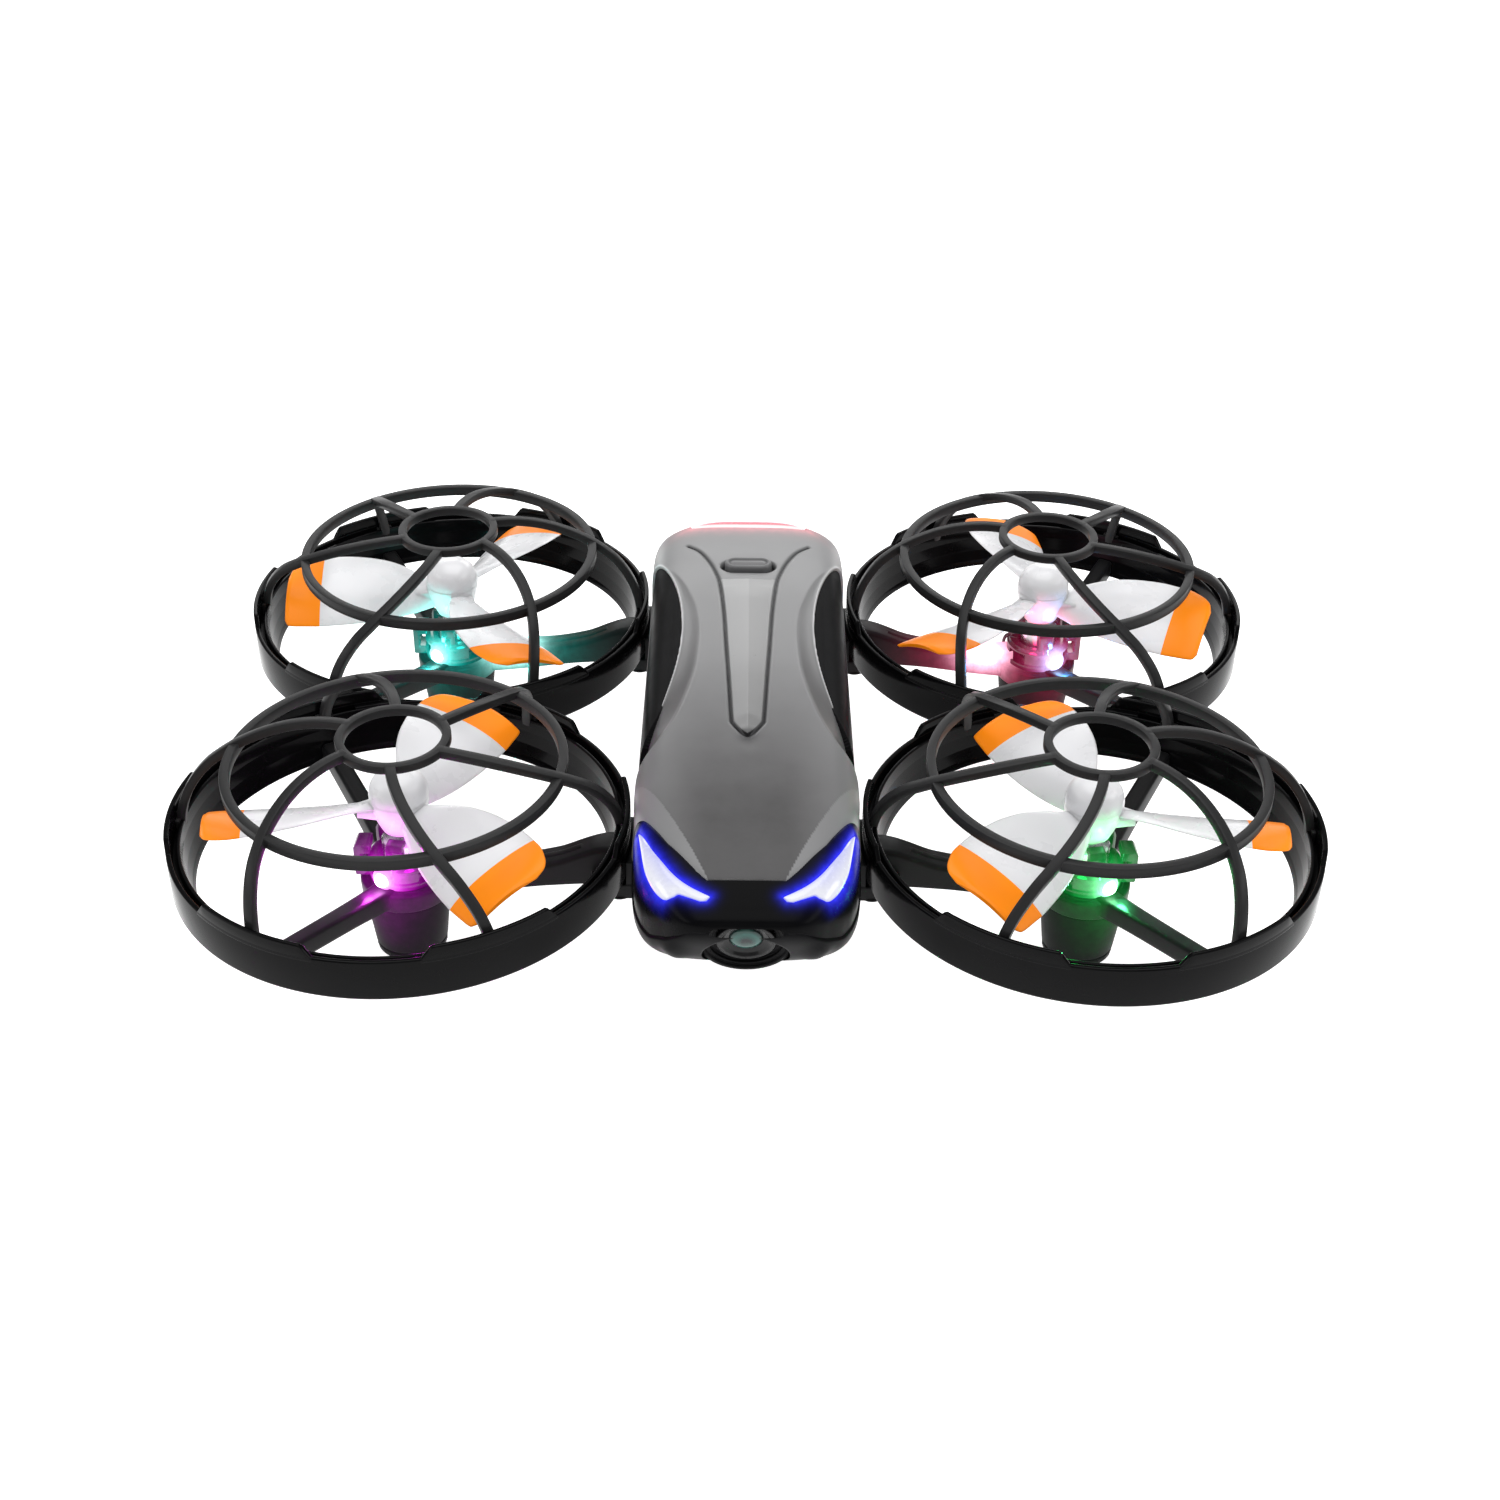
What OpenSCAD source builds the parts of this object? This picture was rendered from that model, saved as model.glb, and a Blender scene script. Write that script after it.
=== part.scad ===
// Caged quadcopter with a nose camera. Millimetres, +Z up, nose towards -Y.
// The origin is at the middle of the footprint, on the plane the landing feet stand on.
// Heights are measured from a datum plane, which the feet hold above the ground by the value of lift.

/* [Layout] */
// Height at which the feet hold the datum plane above the ground
lift = 10; // [8:0.5:12]
// Distance across from the centre line to a duct's axis
duct_x = 69.4; // [69.2:0.1:71]
// Distance along from the middle to a duct's axis
duct_y = 43.8; // [43.7:0.1:44.2]

/* [Ducts] */
// Outer radius of a duct
duct_r = 46.1; // [46:0.1:46.6]
// Height of the rim above the datum
rim_z = 22; // [21.8:0.1:22.4]
// Height of the tabs above the rim
tab_h = 2.6; // [1.5:0.1:3]
// Half angle that one tab covers
tab_half = 16.5; // [10:0.5:20]

/* [Cages] */
// Height of the top of the cage above the datum
cage_top = 41.6; // [40.8:0.2:43]
// Outer radius of the small top ring
top_ring_r = 11.35; // [9:0.05:14]
// Outer radius of the middle ring
mid_ring_r = 34; // [33.8:0.1:34.2]
// Width of a rib
rib_w = 2.1; // [1.4:0.1:3]
// Swirl of the ribs at the top ring, in degrees
rib_swirl = 24.5; // [0:0.5:35]

/* [Propellers] */
// Radius from the axis to a blade's tip
blade_r = 38.6; // [32:0.2:39.4]
// Pitch of a blade at its tip, in degrees
tip_pitch = 18; // [12:1:20]
// Height of the middle of the blades
blade_z = 24.4; // [24:0.1:24.8]

/* [Motors] */
// Radius of a motor can
can_r = 4.25; // [3.5:0.05:4.3]
// Radius of a motor shaft
shaft_r = 0.5; // [0.4:0.05:0.6]

/* [Body] */
// Half width of the body
body_w = 22.5; // [22:0.1:22.6]
// Thickness of the shells
wall = 1.6; // [1.2:0.1:1.8]
// Height of the joint between the two shells
seam_z = 22; // [21.8:0.1:22.2]

/* [Camera] */
// Radius of the camera ball
ball_r = 9.4; // [9:0.1:9.4]
// Distance forward from the middle to the camera's pivot
cam_y = 81; // [80.9:0.1:81.1]
// Height of the camera's pivot
cam_z = 23.6; // [23.4:0.1:23.7]
// Angle by which the camera looks down at rest, in degrees
cam_tilt = 18; // [10:1:20]

/* [Battery] */
// Half width of the battery pack
batt_w = 13; // [10:0.1:13]
// Length of the battery pack inside the body
batt_l = 51; // [40:1:51]

/* [Hidden] */
$fn = 72;
e = 0.01;

// ---------------------------------------------------------------- corners
module raised() translate([0, 0, lift]) children();

// A corner's own frame has its origin under the duct's axis, +X towards the body and +Y towards the next duct.
// The drone's left is +X and its front is -Y.
module corner(sx, sy)
  translate([sx * duct_x, sy * duct_y, lift]) mirror([sx > 0 ? 1 : 0, 0, 0]) mirror([0, sy > 0 ? 1 : 0, 0]) children();

// Pods face the nose on all four corners, so they are mirrored across only.
module pod_corner(sx, sy)
  translate([sx * duct_x, sy * duct_y, lift]) mirror([sx > 0 ? 1 : 0, 0, 0]) children();

// ---------------------------------------------------------------- ducts
duct_low = 11.5;
inner_wall = [[41.2, duct_low], [41.9, 13], [42.6, 15.5], [43.1, 18.4], [43.2, rim_z - 0.6]];
groove_in = 44;
groove_out = 45;
groove_z = 19;

module duct_section() polygon(concat(
  inner_wall,
  [[groove_in, rim_z - 0.6], [groove_in, groove_z], [groove_out, groove_z], [groove_out, rim_z],
   [duct_r, rim_z], [duct_r, 13.4], [groove_out, 12.4], [groove_out - 0.1, 16.5], [43.9, 16.5], [43, 14], [42.2, duct_low]]));

// Fills the hollow under the groove, where the arm's screws go in
module duct_boss_section() polygon([[42.2, 12.6], [42.3, duct_low + 0.1], [groove_out - 0.1, duct_low + 0.1], [groove_out + 0.5, 13.6], [groove_out + 0.5, 17], [43.4, 17]]);

// Fills the groove and the hollow, where two ducts meet
module duct_web_section() polygon([[42.2, 12.6], [42.3, duct_low + 0.1], [groove_out - 0.1, duct_low + 0.1], [groove_out + 0.5, 13.6],
  [groove_out + 0.5, rim_z - 0.1], [43.5, rim_z - 0.1], [43.5, 17]]);

module arc(from, to) rotate([0, 0, from]) rotate_extrude(angle = to - from, $fn = 180) children();

module duct_part() color([0.06, 0.06, 0.065]) difference() {
  intersection() {
    union() {
      rotate_extrude($fn = 180) duct_section();
      arc(-15, 15) duct_boss_section();
      arc(68, 112) duct_web_section();
      for (k = [0:5]) {
        arc(60 * k - tab_half, 60 * k + tab_half)
          translate([groove_out + 0.04, rim_z - 1]) square([duct_r - groove_out - 0.08, 1 + tab_h * 0.5]);
        arc(60 * k - tab_half + 1.6, 60 * k + tab_half - 1.6)
          translate([groove_out + 0.08, rim_z - 0.5]) square([duct_r - groove_out - 0.16, 0.5 + tab_h]);
      }
    }
    translate([-60, -60, 0]) cube([120, 60 + duct_y, 40]);
  }
  for (s = [-1, 1]) translate([44, s * 6, duct_low - 1]) cylinder(h = 5.1, r = 0.8, $fn = 32);
}

// ---------------------------------------------------------------- cages
// Height of the dome's outer face at radius r, between the two rings
function dome_z(r) = cage_top - (cage_top - 36) * pow(max(0, (r - top_ring_r) / (mid_ring_r - top_ring_r)), 2);
cage_out = concat([for (i = [0:8]) let (r = 9.8 + (mid_ring_r - 9.8) * i / 8) [r, dome_z(r)]],
  [[36.2, 34.7], [38.7, 33], [41, 30.6], [42.9, 27.7], [44.2, 24.5], [44.85, 21.4], [44.95, groove_z]]);
cage_in = concat([[44.05, groove_z], [44.05, 21.6], [42.9, 24.4], [41.5, 27], [39.7, 29.6], [37.6, 31.8], [35.6, 33.3]],
  [for (i = [8:-1:0]) let (r = 9.8 + (mid_ring_r - 9.8) * i / 8) [r, dome_z(r) - 1.8]]);

// Angle by which a rib lags its foot at radius r
function rib_lag(r) = r >= 44 ? 0 : -rib_swirl * pow((44 - r) / (44 - top_ring_r), 0.875);
function rib_half(r) = (r > 43.2 ? rib_w * 0.95 : rib_w / 2 + 0.04) ;
rib_r = [10.2, 12, 15, 18, 21, 24, 27, 30, 33, 36, 39, 42, 43.2, 43.3, 45.6];
function rib_pt(r, s) = let (a = rib_lag(r) + s * asin(rib_half(r) / r)) [r * cos(a), r * sin(a)];
rib_outline = concat([for (r = rib_r) rib_pt(r, -1)], [for (i = [len(rib_r) - 1:-1:0]) rib_pt(rib_r[i], 1)]);

module cage_part() color([0.16, 0.16, 0.165]) union() {
  rotate_extrude($fn = 120) translate([top_ring_r - 1.8, cage_top - 1.8]) square([1.8, 1.8]);
  rotate_extrude($fn = 180) translate([mid_ring_r - 1.9, 33.7]) square([1.9, 2.3]);
  intersection() {
    rotate_extrude($fn = 180) polygon(concat(cage_out, cage_in));
    translate([0, 0, groove_z - 1]) linear_extrude(30)
      for (k = [0:5]) rotate([0, 0, 60 * k]) polygon(rib_outline);
  }
}

// ---------------------------------------------------------------- arms
collar_lo = 4.5;
collar_hi = 8.5;
collar_r = 9.3;
pod_r = 7.3;
socket_r = can_r + 0.1;
lug_x = duct_x - 22.2;

// Everything inside the duct's inner wall
module duct_inside() rotate_extrude($fn = 180)
  polygon(concat([[0, 0], [41.2, 0]], inner_wall, [[43.2, 30], [0, 30]]));

module strut(a) rotate([0, 0, a]) translate([6, 0, 6.6]) rotate([0, 79.5, 0]) cylinder(h = 42, r = 2.35, $fn = 40);

module arm_part() color([0.07, 0.07, 0.075]) difference() {
  union() {
    translate([0, 0, collar_lo]) cylinder(h = collar_hi - collar_lo, r = collar_r);
    intersection() {
      duct_inside();
      union() {
        strut(120);
        strut(-120);
        translate([0, 3.4, 0]) rotate([90, 0, 0]) linear_extrude(6.8)
          polygon([[6, 4.6], [14, 5.4], [30, 7.4], [41.5, 8], [50, 8], [50, 17], [41, 17], [37, 15.6], [31, 13.2], [22, 11.6], [12, 11.2], [6, 11.4]]);
      }
    }
    translate([38, -8.2, 8]) cube([lug_x - 38, 16.4, duct_low - 8]);
    difference() {
      translate([42, -8.2, 8]) cube([lug_x - 42, 16.4, 9]);
      translate([0, 0, duct_low]) cylinder(h = 20, r = duct_r, $fn = 180);
    }
  }
  translate([0, 0, -10]) cylinder(h = 40, r = socket_r);
  translate([0, 0, -10]) cylinder(h = 10 + collar_lo, r = collar_r);
  translate([0, 0, collar_hi]) cylinder(h = 30, r = pod_r + 0.15);
  translate([0, -1.6, 9.1]) cube([60, 3.2, 1.9]);
  for (s = [-1, 1]) translate([44, s * 6, 0]) {
    cylinder(h = 20, r = 0.9, $fn = 32);
    cylinder(h = 9.4, r = 1.75, $fn = 32);
  }
}

// ---------------------------------------------------------------- pods, feet, motors, lights
can_lo = -2.4;
can_hi = 17.6;
light_z = 11.2;
light_a = -118;

module pod_part() color([0.03, 0.03, 0.035]) difference() {
  union() {
    translate([0, 0, collar_hi]) cylinder(h = 5.3, r = pod_r);
    // three fingers with lips over the top of the motor
    for (a = [20, 140, 260]) rotate([0, 0, a]) {
      translate([0, -1.7, collar_hi]) intersection() {
        cube([6.4, 3.4, 10.2]);
        translate([0, 1.7, 0]) cylinder(h = 11, r = 6.3);
      }
    }
    // hooked clip on the outboard side
    translate([-9.9, -2.3, collar_hi + 0.6]) difference() {
      cube([3.6, 4.6, 7.2]);
      translate([1.3, -1, 2]) cube([3, 7, 3.2]);
    }
    // boss round the light
    rotate([0, 0, light_a]) translate([4.6, 0, light_z]) rotate([0, 90, 0]) cylinder(h = 2.75, r = 2);
  }
  cylinder(h = can_hi + 0.1, r = socket_r);
  translate([0, 0, can_hi]) cylinder(h = 5, r = 3.1);
  // way through for the motor's leads
  translate([3, -1.6, 9.1]) cube([6, 3.2, 1.9]);
  // windows that show the motor
  for (a = [80, 200, 320]) rotate([0, 0, a]) translate([3, -2.3, collar_hi + 1.3]) cube([6, 4.6, 2.9]);
  rotate([0, 0, light_a]) translate([4.9, 0, light_z]) rotate([0, 90, 0]) cylinder(h = 6, r = 1.5, $fn = 40);
}

module foot_part() color([0.08, 0.08, 0.085])
  rotate_extrude() polygon([[0, -lift], [6.4, -lift], [7.2, 0.8 - lift], [8.8, collar_lo], [socket_r, collar_lo], [socket_r, can_lo], [0, can_lo]]);

module motor_part() color([0.72, 0.73, 0.75]) rotate_extrude() polygon([
  [0, can_lo], [can_r - 0.3, can_lo], [can_r, can_lo + 0.3], [can_r, can_hi - 0.4], [can_r - 0.4, can_hi],
  [1.5, can_hi], [1.5, can_hi + 0.8], [shaft_r + 0.05, can_hi + 0.8], [shaft_r + 0.05, 8], [0, 8]]);

module shaft_part() color([0.8, 0.8, 0.82]) translate([0, 0, 8.5]) cylinder(h = 21.5, r = shaft_r, $fn = 40);

module light_part(c) color(c) rotate([0, 0, light_a]) translate([4.9, 0, light_z]) rotate([0, 90, 0]) rotate_extrude($fn = 40)
  polygon(concat([[0, 0], [1.45, 0], [1.45, 3.2]], [for (t = [20:20:80]) [1.45 * cos(t), 3.2 + 1.1 * sin(t)]], [[0, 4.3]]));

// ---------------------------------------------------------------- propellers
// Distance from a blade's middle line to its leading and trailing edges
lead = [[3, 2.6], [6, 4.4], [10, 7], [15, 9.6], [21, 11.4], [27, 12.2], [32, 12.1], [36, 10.8], [37.8, 9.2], [38.6, 7.4]];
trail = [[3, 2.6], [6, 3.8], [10, 5.2], [15, 6.6], [21, 7.8], [27, 8.6], [32, 9], [36, 9], [37.8, 8.8], [38.6, 8]];
pitch = [[3, 38], [10, 32], [20, 25], [30, 20.5], [38.6, tip_pitch]];
blade_stations = [3, 6, 10, 15, 21, 27, 32, 36, 37.8, 38.6];

// One point of a blade's section: u runs from -1 at the trailing edge to 1 at the leading edge
function blade_pt(r, u, side) =
  let (c = u < 0 ? u * lookup(r, trail) : u * lookup(r, lead),
       p = lookup(r, pitch),
       h = 1.1 * (1 - u * u) + side * (0.24 + (0.62 - r * 0.008) * (1 - u * u)))
  [r * blade_r / 38.6, c * cos(p) - h * sin(p), blade_z - 0.4 + c * sin(p) + h * cos(p)];
blade_u = [-1, -0.6, -0.2, 0.2, 0.6, 1];
function blade_ring(r) = concat([for (u = blade_u) blade_pt(r, u, -1)], [for (i = [5:-1:0]) blade_pt(r, blade_u[i], 1)]);

// Skin over equal rings of points, with flat ends
module skin(rings) {
  n = len(rings[0]);
  m = len(rings);
  polyhedron(points = [for (r = rings) each r],
    faces = concat(
      [[for (i = [0:n - 1]) i]],
      [for (j = [0:m - 2], i = [0:n - 1]) [j * n + i, (j + 1) * n + i, j * n + (i + 1) % n]],
      [for (j = [0:m - 2], i = [0:n - 1]) [j * n + (i + 1) % n, (j + 1) * n + i, (j + 1) * n + (i + 1) % n]],
      [[for (i = [n - 1:-1:0]) (m - 1) * n + i]]));
}

module blade() skin([for (r = blade_stations) blade_ring(r)]);

module propeller_part(turn) color([0.95, 0.95, 0.95]) rotate([0, 0, turn]) difference() {
  union() {
    rotate_extrude() polygon([[0, 19.3], [3.5, 19.3], [4.2, 20.6], [5, 22.6], [5.6, 24.6], [5.95, 26.6], [5.95, 28.4], [5.6, 30], [4.8, 31.4], [3.5, 32.4], [1.8, 32.95], [0, 33.1]]);
    for (a = [60, 180, 300]) rotate([0, 0, a]) blade();
  }
  translate([0, 0, 19]) cylinder(h = 11.02, r = shaft_r + 0.02, $fn = 40);
}

// ---------------------------------------------------------------- body surface
body_half = [[-89.2, 0.30], [-88.6, 0.43], [-87, 0.57], [-84, 0.70], [-80.5, 0.82], [-77, 0.90], [-72, 0.955], [-64, 0.985], [-50, 1],
  [0, 1], [40, 1], [47, 0.99], [50, 0.97], [53, 0.91], [56, 0.82], [58.6, 0.68], [60, 0.5]];
body_top = [[-89.2, 30.2], [-88.6, 31.2], [-87, 32.1], [-84, 33.2], [-80, 34.3], [-72, 36], [-60, 37.5], [-40, 39], [-10, 40], [15, 40],
  [35, 39.4], [48, 38.3], [55, 37.6], [58.6, 36.6], [60, 35]];
body_low = [[-89.2, 28], [-88.6, 26.4], [-87, 23.5], [-84, 19], [-80, 15.4], [-76, 13.2], [-70, 11.4], [-60, 10], [-45, 9], [45, 9],
  [52, 9.4], [56, 10.4], [58.6, 12], [60, 14]];
// Height of the widest line of the body, which rises at the nose
body_mid = [[-89.2, 29], [-88.6, 28.6], [-87, 26.6], [-84, 24], [-80, seam_z], [60, seam_z]];
body_y = [-89.2, -88.6, -87, -84, -80.5, -77, -72, -64, -50, -30, -10, 10, 30, 42, 48, 52, 56, 58.6, 60];
function pw(v, p) = sign(v) * pow(abs(v), p);
// t is how far inside the outer face the surface lies
function body_ring(y, t) = let (w = body_w * lookup(y, body_half) - t, zt = lookup(y, body_top) - t, zb = lookup(y, body_low) + t,
    zm = lookup(y, body_mid), yy = -14.6 + (y + 14.6) * (74.6 - t) / 74.6)
  [for (i = [0:23]) let (a = -90 + 15 * i, c = pw(cos(a), sin(a) > 0 ? 0.5 : 0.667), s = sin(a))
    [w * c, yy, s > 0 ? zm + max(0.2, zt - zm) * pow(s, 0.5) : zm - max(0.2, zm - zb) * pow(-s, 0.667)]];
module body_form(t = 0) skin([for (i = [len(body_y) - 1:-1:0]) body_ring(body_y[i], t)]);

module hood_area() translate([0, 0, seam_z]) linear_extrude(40)
  polygon([[-40, 80], [40, 80], [40, -56], [22.6, -58], [20.5, -60.5], [15.3, -70], [10.5, -76.5], [7.1, -79.9],
    [-7.1, -79.9], [-10.5, -76.5], [-15.3, -70], [-20.5, -60.5], [-22.6, -58], [-40, -56]]);
module crescent(s) translate([s * 109.8, 6, seam_z + 1.6]) cylinder(h = 40, r = 95, $fn = 360);
module eye(s) mirror([s < 0 ? 1 : 0, 0, 0]) translate([0, 0, 26.5]) linear_extrude(20)
  polygon([[6.7, -83.3], [7.4, -84.1], [8.5, -84], [12.9, -82], [15.1, -82.1], [16.8, -80.5], [18.8, -76.4], [20.4, -68.5], [21.6, -62],
    [18.1, -70], [15.1, -75.4], [10.4, -80.8]]);
module tail_bar_area() translate([-13.4, 53, 34.6]) cube([26.8, 12, 8]);
module camera_room() translate([0, -cam_y, cam_z]) sphere(r = ball_r + 0.35, $fn = 96);
module lug_area(g = 0) for (s = [-1, 1]) for (y = [-1, 1])
  translate([s > 0 ? 15.5 - g : -22.2 - g, y * duct_y - 8.2 - g, 8 - g]) cube([6.7 + 2 * g, 16.4 + 2 * g, 8.6 + 2 * g]);
screw_xy = [[-16.5, -56], [16.5, -56], [-16.5, 38], [16.5, 38]];

module lower_shell() raised() color([0.07, 0.07, 0.075]) difference() {
  union() {
    difference() {
      intersection() {
        body_form(0);
        translate([-40, -100, 0]) cube([80, 200, seam_z]);
      }
      body_form(wall);
    }
    lug_area();
    intersection() {
      for (p = screw_xy) translate([p[0], p[1], 8]) cylinder(h = seam_z - 8, r = 3.1, $fn = 40);
      body_form(0.4);
    }
  }
  camera_room();
  translate([-batt_w - 0.4, 2, 10.7]) cube([2 * batt_w + 0.8, 70, 20]);
  for (p = screw_xy) translate([p[0], p[1], 0]) {
    cylinder(h = 40, r = 1.05, $fn = 32);
    cylinder(h = 12, r = 2, $fn = 32);
  }
  for (s = [-1, 1]) for (y = [-1, 1]) translate([s > 0 ? 14 : -23, y * duct_y - 1.6, 9.1]) cube([9, 3.2, 1.9]);
}

module upper_shell() raised() color([0.42, 0.42, 0.43]) difference() {
  union() {
    difference() {
      intersection() {
        body_form(0);
        hood_area();
      }
      body_form(wall);
    }
    intersection() {
      for (p = screw_xy) translate([p[0], p[1], seam_z]) cylinder(h = 20, r = 2.5, $fn = 40);
      body_form(0.5);
    }
  }
  crescent(-1);
  crescent(1);
  tail_bar_area();
  camera_room();
  translate([0, button_y, 30]) button_form(20, 0.3);
  for (p = screw_xy) translate([p[0], p[1], seam_z - 1]) cylinder(h = 10, r = 0.95, $fn = 32);
}

module side_panel(s) raised() color([0.13, 0.13, 0.135]) difference() {
  intersection() {
    body_form(0.9);
    crescent(s);
  }
  body_form(wall + 0.9);
}
module side_panel_left() side_panel(1);
module side_panel_right() side_panel(-1);

module spine_trim() raised() color([0.46, 0.46, 0.47]) difference() {
  intersection() {
    body_form(-0.7);
    translate([0, 0, 30]) linear_extrude(20)
      polygon([[-6.2, 23], [-5.3, 9.6], [-4.7, -3.3], [-3.2, -33.4], [0, -38.6], [3.2, -33.4], [4.7, -3.3], [5.3, 9.6], [6.2, 23]]);
  }
  body_form(0);
}

module nose_cover() raised() color([0.05, 0.05, 0.055]) difference() {
  intersection() {
    body_form(0);
    translate([-40, -100, seam_z]) cube([80, 50, 40]);
  }
  hood_area();
  body_form(wall);
  eye(1);
  eye(-1);
  camera_room();
}

module headlight(s) raised() color([0.85, 0.88, 1]) difference() {
  intersection() {
    body_form(0.1);
    eye(s);
  }
  hood_area();
  body_form(wall);
}
module headlight_left() headlight(1);
module headlight_right() headlight(-1);

module tail_light_bar() raised() color([1, 0.75, 0.78]) difference() {
  intersection() {
    body_form(0.05);
    tail_bar_area();
  }
  body_form(wall);
}

// ---------------------------------------------------------------- power button
button_y = 30.4;
module button_form(h, g) {
  for (s = [-1, 1]) translate([s * 2.9, 0, 0]) cylinder(h = h, r = 2.4 + g, $fn = 48);
  translate([-2.9, -2.4 - g, 0]) cube([5.8, 4.8 + 2 * g, h]);
}
module power_button() raised() color([0.4, 0.4, 0.41]) translate([0, button_y, 0]) {
  translate([0, 0, 36.6]) button_form(4.2, 0);
  translate([0, 0, 36.5]) button_form(1, 0.7);
  translate([0, 0, 34.6]) cylinder(h = 2.2, r = 1.5, $fn = 40);
}
module button_switch() raised() color([0.12, 0.12, 0.12]) translate([0, button_y, 26.4]) {
  translate([-3, -3, 0]) cube([6, 6, 3.6]);
  translate([0, 0, 3.5]) cylinder(h = 3.9, r = 1.7, $fn = 40);
}

// ---------------------------------------------------------------- camera
// The camera's own frame has its origin at the pivot and +Z out through the lens.
module at_camera() translate([0, -cam_y, cam_z + lift]) rotate([cam_tilt + 90, 0, 0]) children();
module camera_housing() color([0.04, 0.04, 0.045]) at_camera() difference() {
  union() {
    difference() {
      sphere(r = ball_r, $fn = 96);
      translate([-15, -15, 3.2]) cube([30, 30, 20]);
    }
    translate([-11.3, 0, 0]) rotate([0, 90, 0]) cylinder(h = 22.6, r = 1.5, $fn = 48);
  }
  rotate_extrude() polygon([[0, 1.4], [5.65, 1.4], [5.65, 2.1], [7, 2.1], [7, 2.7], [7.9, 2.7], [7.9, 5], [0, 5]]);
  translate([0, 0, -20]) cylinder(h = 18.5, r = 6);
  translate([0, 0, -5]) cylinder(h = 9, r = 3);
}
module camera_lens_ring() color([0.1, 0.1, 0.1]) at_camera() rotate_extrude()
  polygon([[3.2, 1.4], [5.6, 1.4], [5.6, 2.9], [4.7, 2.9], [4.2, 2.3], [3.2, 2]]);
module camera_lens() color([0.15, 0.35, 0.35]) at_camera() rotate_extrude($fn = 60)
  polygon(concat([[0, 1.5], [3.15, 1.5], [3.15, 1.8]], [for (t = [15:15:75]) [3.15 * cos(t), 1.8 + 1.1 * sin(t)]], [[0, 2.9]]));
module camera_sensor() color([0.1, 0.25, 0.15]) at_camera() {
  translate([-4, -4, -2.7]) cube([8, 8, 1.2]);
  translate([0, 0, -1.6]) cylinder(h = 3, r = 2.9);
}
module camera_bracket() raised() color([0.1, 0.1, 0.1]) difference() {
  union() {
    for (s = [-1, 1]) translate([s > 0 ? 9.9 : -11.4, -cam_y, cam_z]) {
      rotate([0, 90, 0]) cylinder(h = 1.5, r = 2.2, $fn = 48);
      translate([0, 0, -2.2]) cube([1.5, 11, 4.4]);
    }
    translate([-11.4, -70.6, cam_z - 2.2]) cube([22.8, 1.4, 4.4]);
  }
  translate([-20, -cam_y, cam_z]) rotate([0, 90, 0]) cylinder(h = 40, r = 1.55, $fn = 48);
}

// ---------------------------------------------------------------- inner pieces
module main_board() raised() color([0.05, 0.3, 0.15]) translate([-13, -69.2, 25]) cube([26, 104.7, 1.4]);
module board_components() raised() color([0.08, 0.08, 0.08]) {
  translate([-6, -8, 26.4]) cube([12, 12, 1.2]);
  translate([-9, -30, 26.4]) cube([9, 9, 1]);
  translate([3, -30, 26.4]) cube([6, 8, 1.6]);
  translate([-10, 12, 26.4]) cube([5, 5, 2.4]);
  translate([5, 12, 26.4]) cube([4, 6, 1.6]);
  for (i = [0:3]) translate([-9 + 5.2 * i, -48, 26.4]) cube([2.6, 3.6, 1.1]);
}
module battery_connector() raised() color([0.85, 0.85, 0.8]) difference() {
  translate([-6, -4, 13]) cube([12, 7.5, 12]);
  for (s = [-1, 1]) translate([s * 3 - 0.6, 1, 14]) cube([1.2, 4, 6]);
}
module battery_pack() raised() color([0.09, 0.09, 0.1]) difference() {
  union() {
    translate([-batt_w, 4, 11.1]) cube([2 * batt_w, batt_l, 10.4]);
    translate([-batt_w + 1, 4 + batt_l - 1, 12.4]) cube([2 * batt_w - 2, 3.6, 8.6]);
  }
  for (s = [-1, 1]) translate([s * 3 - 0.9, 3, 13.6]) cube([1.8, 5, 7]);
  for (i = [-2:2]) translate([i * 4 - 0.5, 4 + batt_l + 2, 14]) cube([1, 2, 5.4]);
}
module light_boards() raised() color([0.85, 0.85, 0.82]) {
  for (s = [-1, 1]) translate([s > 0 ? 8.5 : -14, -72.5, 29]) cube([5.5, 1, 3]);
  translate([-10, 50.2, 31]) cube([20, 1, 3.4]);
}
module motor_leads() color([0.7, 0.1, 0.1]) for (sx = [-1, 1]) for (sy = [-1, 1]) corner(sx, sy)
  for (s = [-1, 1]) translate([6, s * 0.75, 10]) rotate([0, 90, 0]) cylinder(h = 47, r = 0.55, $fn = 24);
module shell_screws() raised() color([0.6, 0.6, 0.62]) for (p = screw_xy) translate([p[0], p[1], 0]) {
  difference() {
    translate([0, 0, 10.9]) cylinder(h = 1.1, r = 1.85, $fn = 40);
    for (a = [0, 90]) rotate([0, 0, a]) translate([-1.2, -0.2, 10.5]) cube([2.4, 0.4, 0.9]);
  }
  translate([0, 0, 11.9]) cylinder(h = 18, r = 0.95, $fn = 32);
}
module duct_screws() color([0.6, 0.6, 0.62]) for (sx = [-1, 1]) for (sy = [-1, 1]) corner(sx, sy)
  for (s = [-1, 1]) translate([44, s * 6, 0]) {
    difference() {
      translate([0, 0, 8.3]) cylinder(h = 1.1, r = 1.6, $fn = 40);
      for (a = [0, 90]) rotate([0, 0, a]) translate([-1, -0.2, 8]) cube([2, 0.4, 0.8]);
    }
    translate([0, 0, 9.3]) cylinder(h = 6, r = 0.8, $fn = 32);
  }

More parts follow.
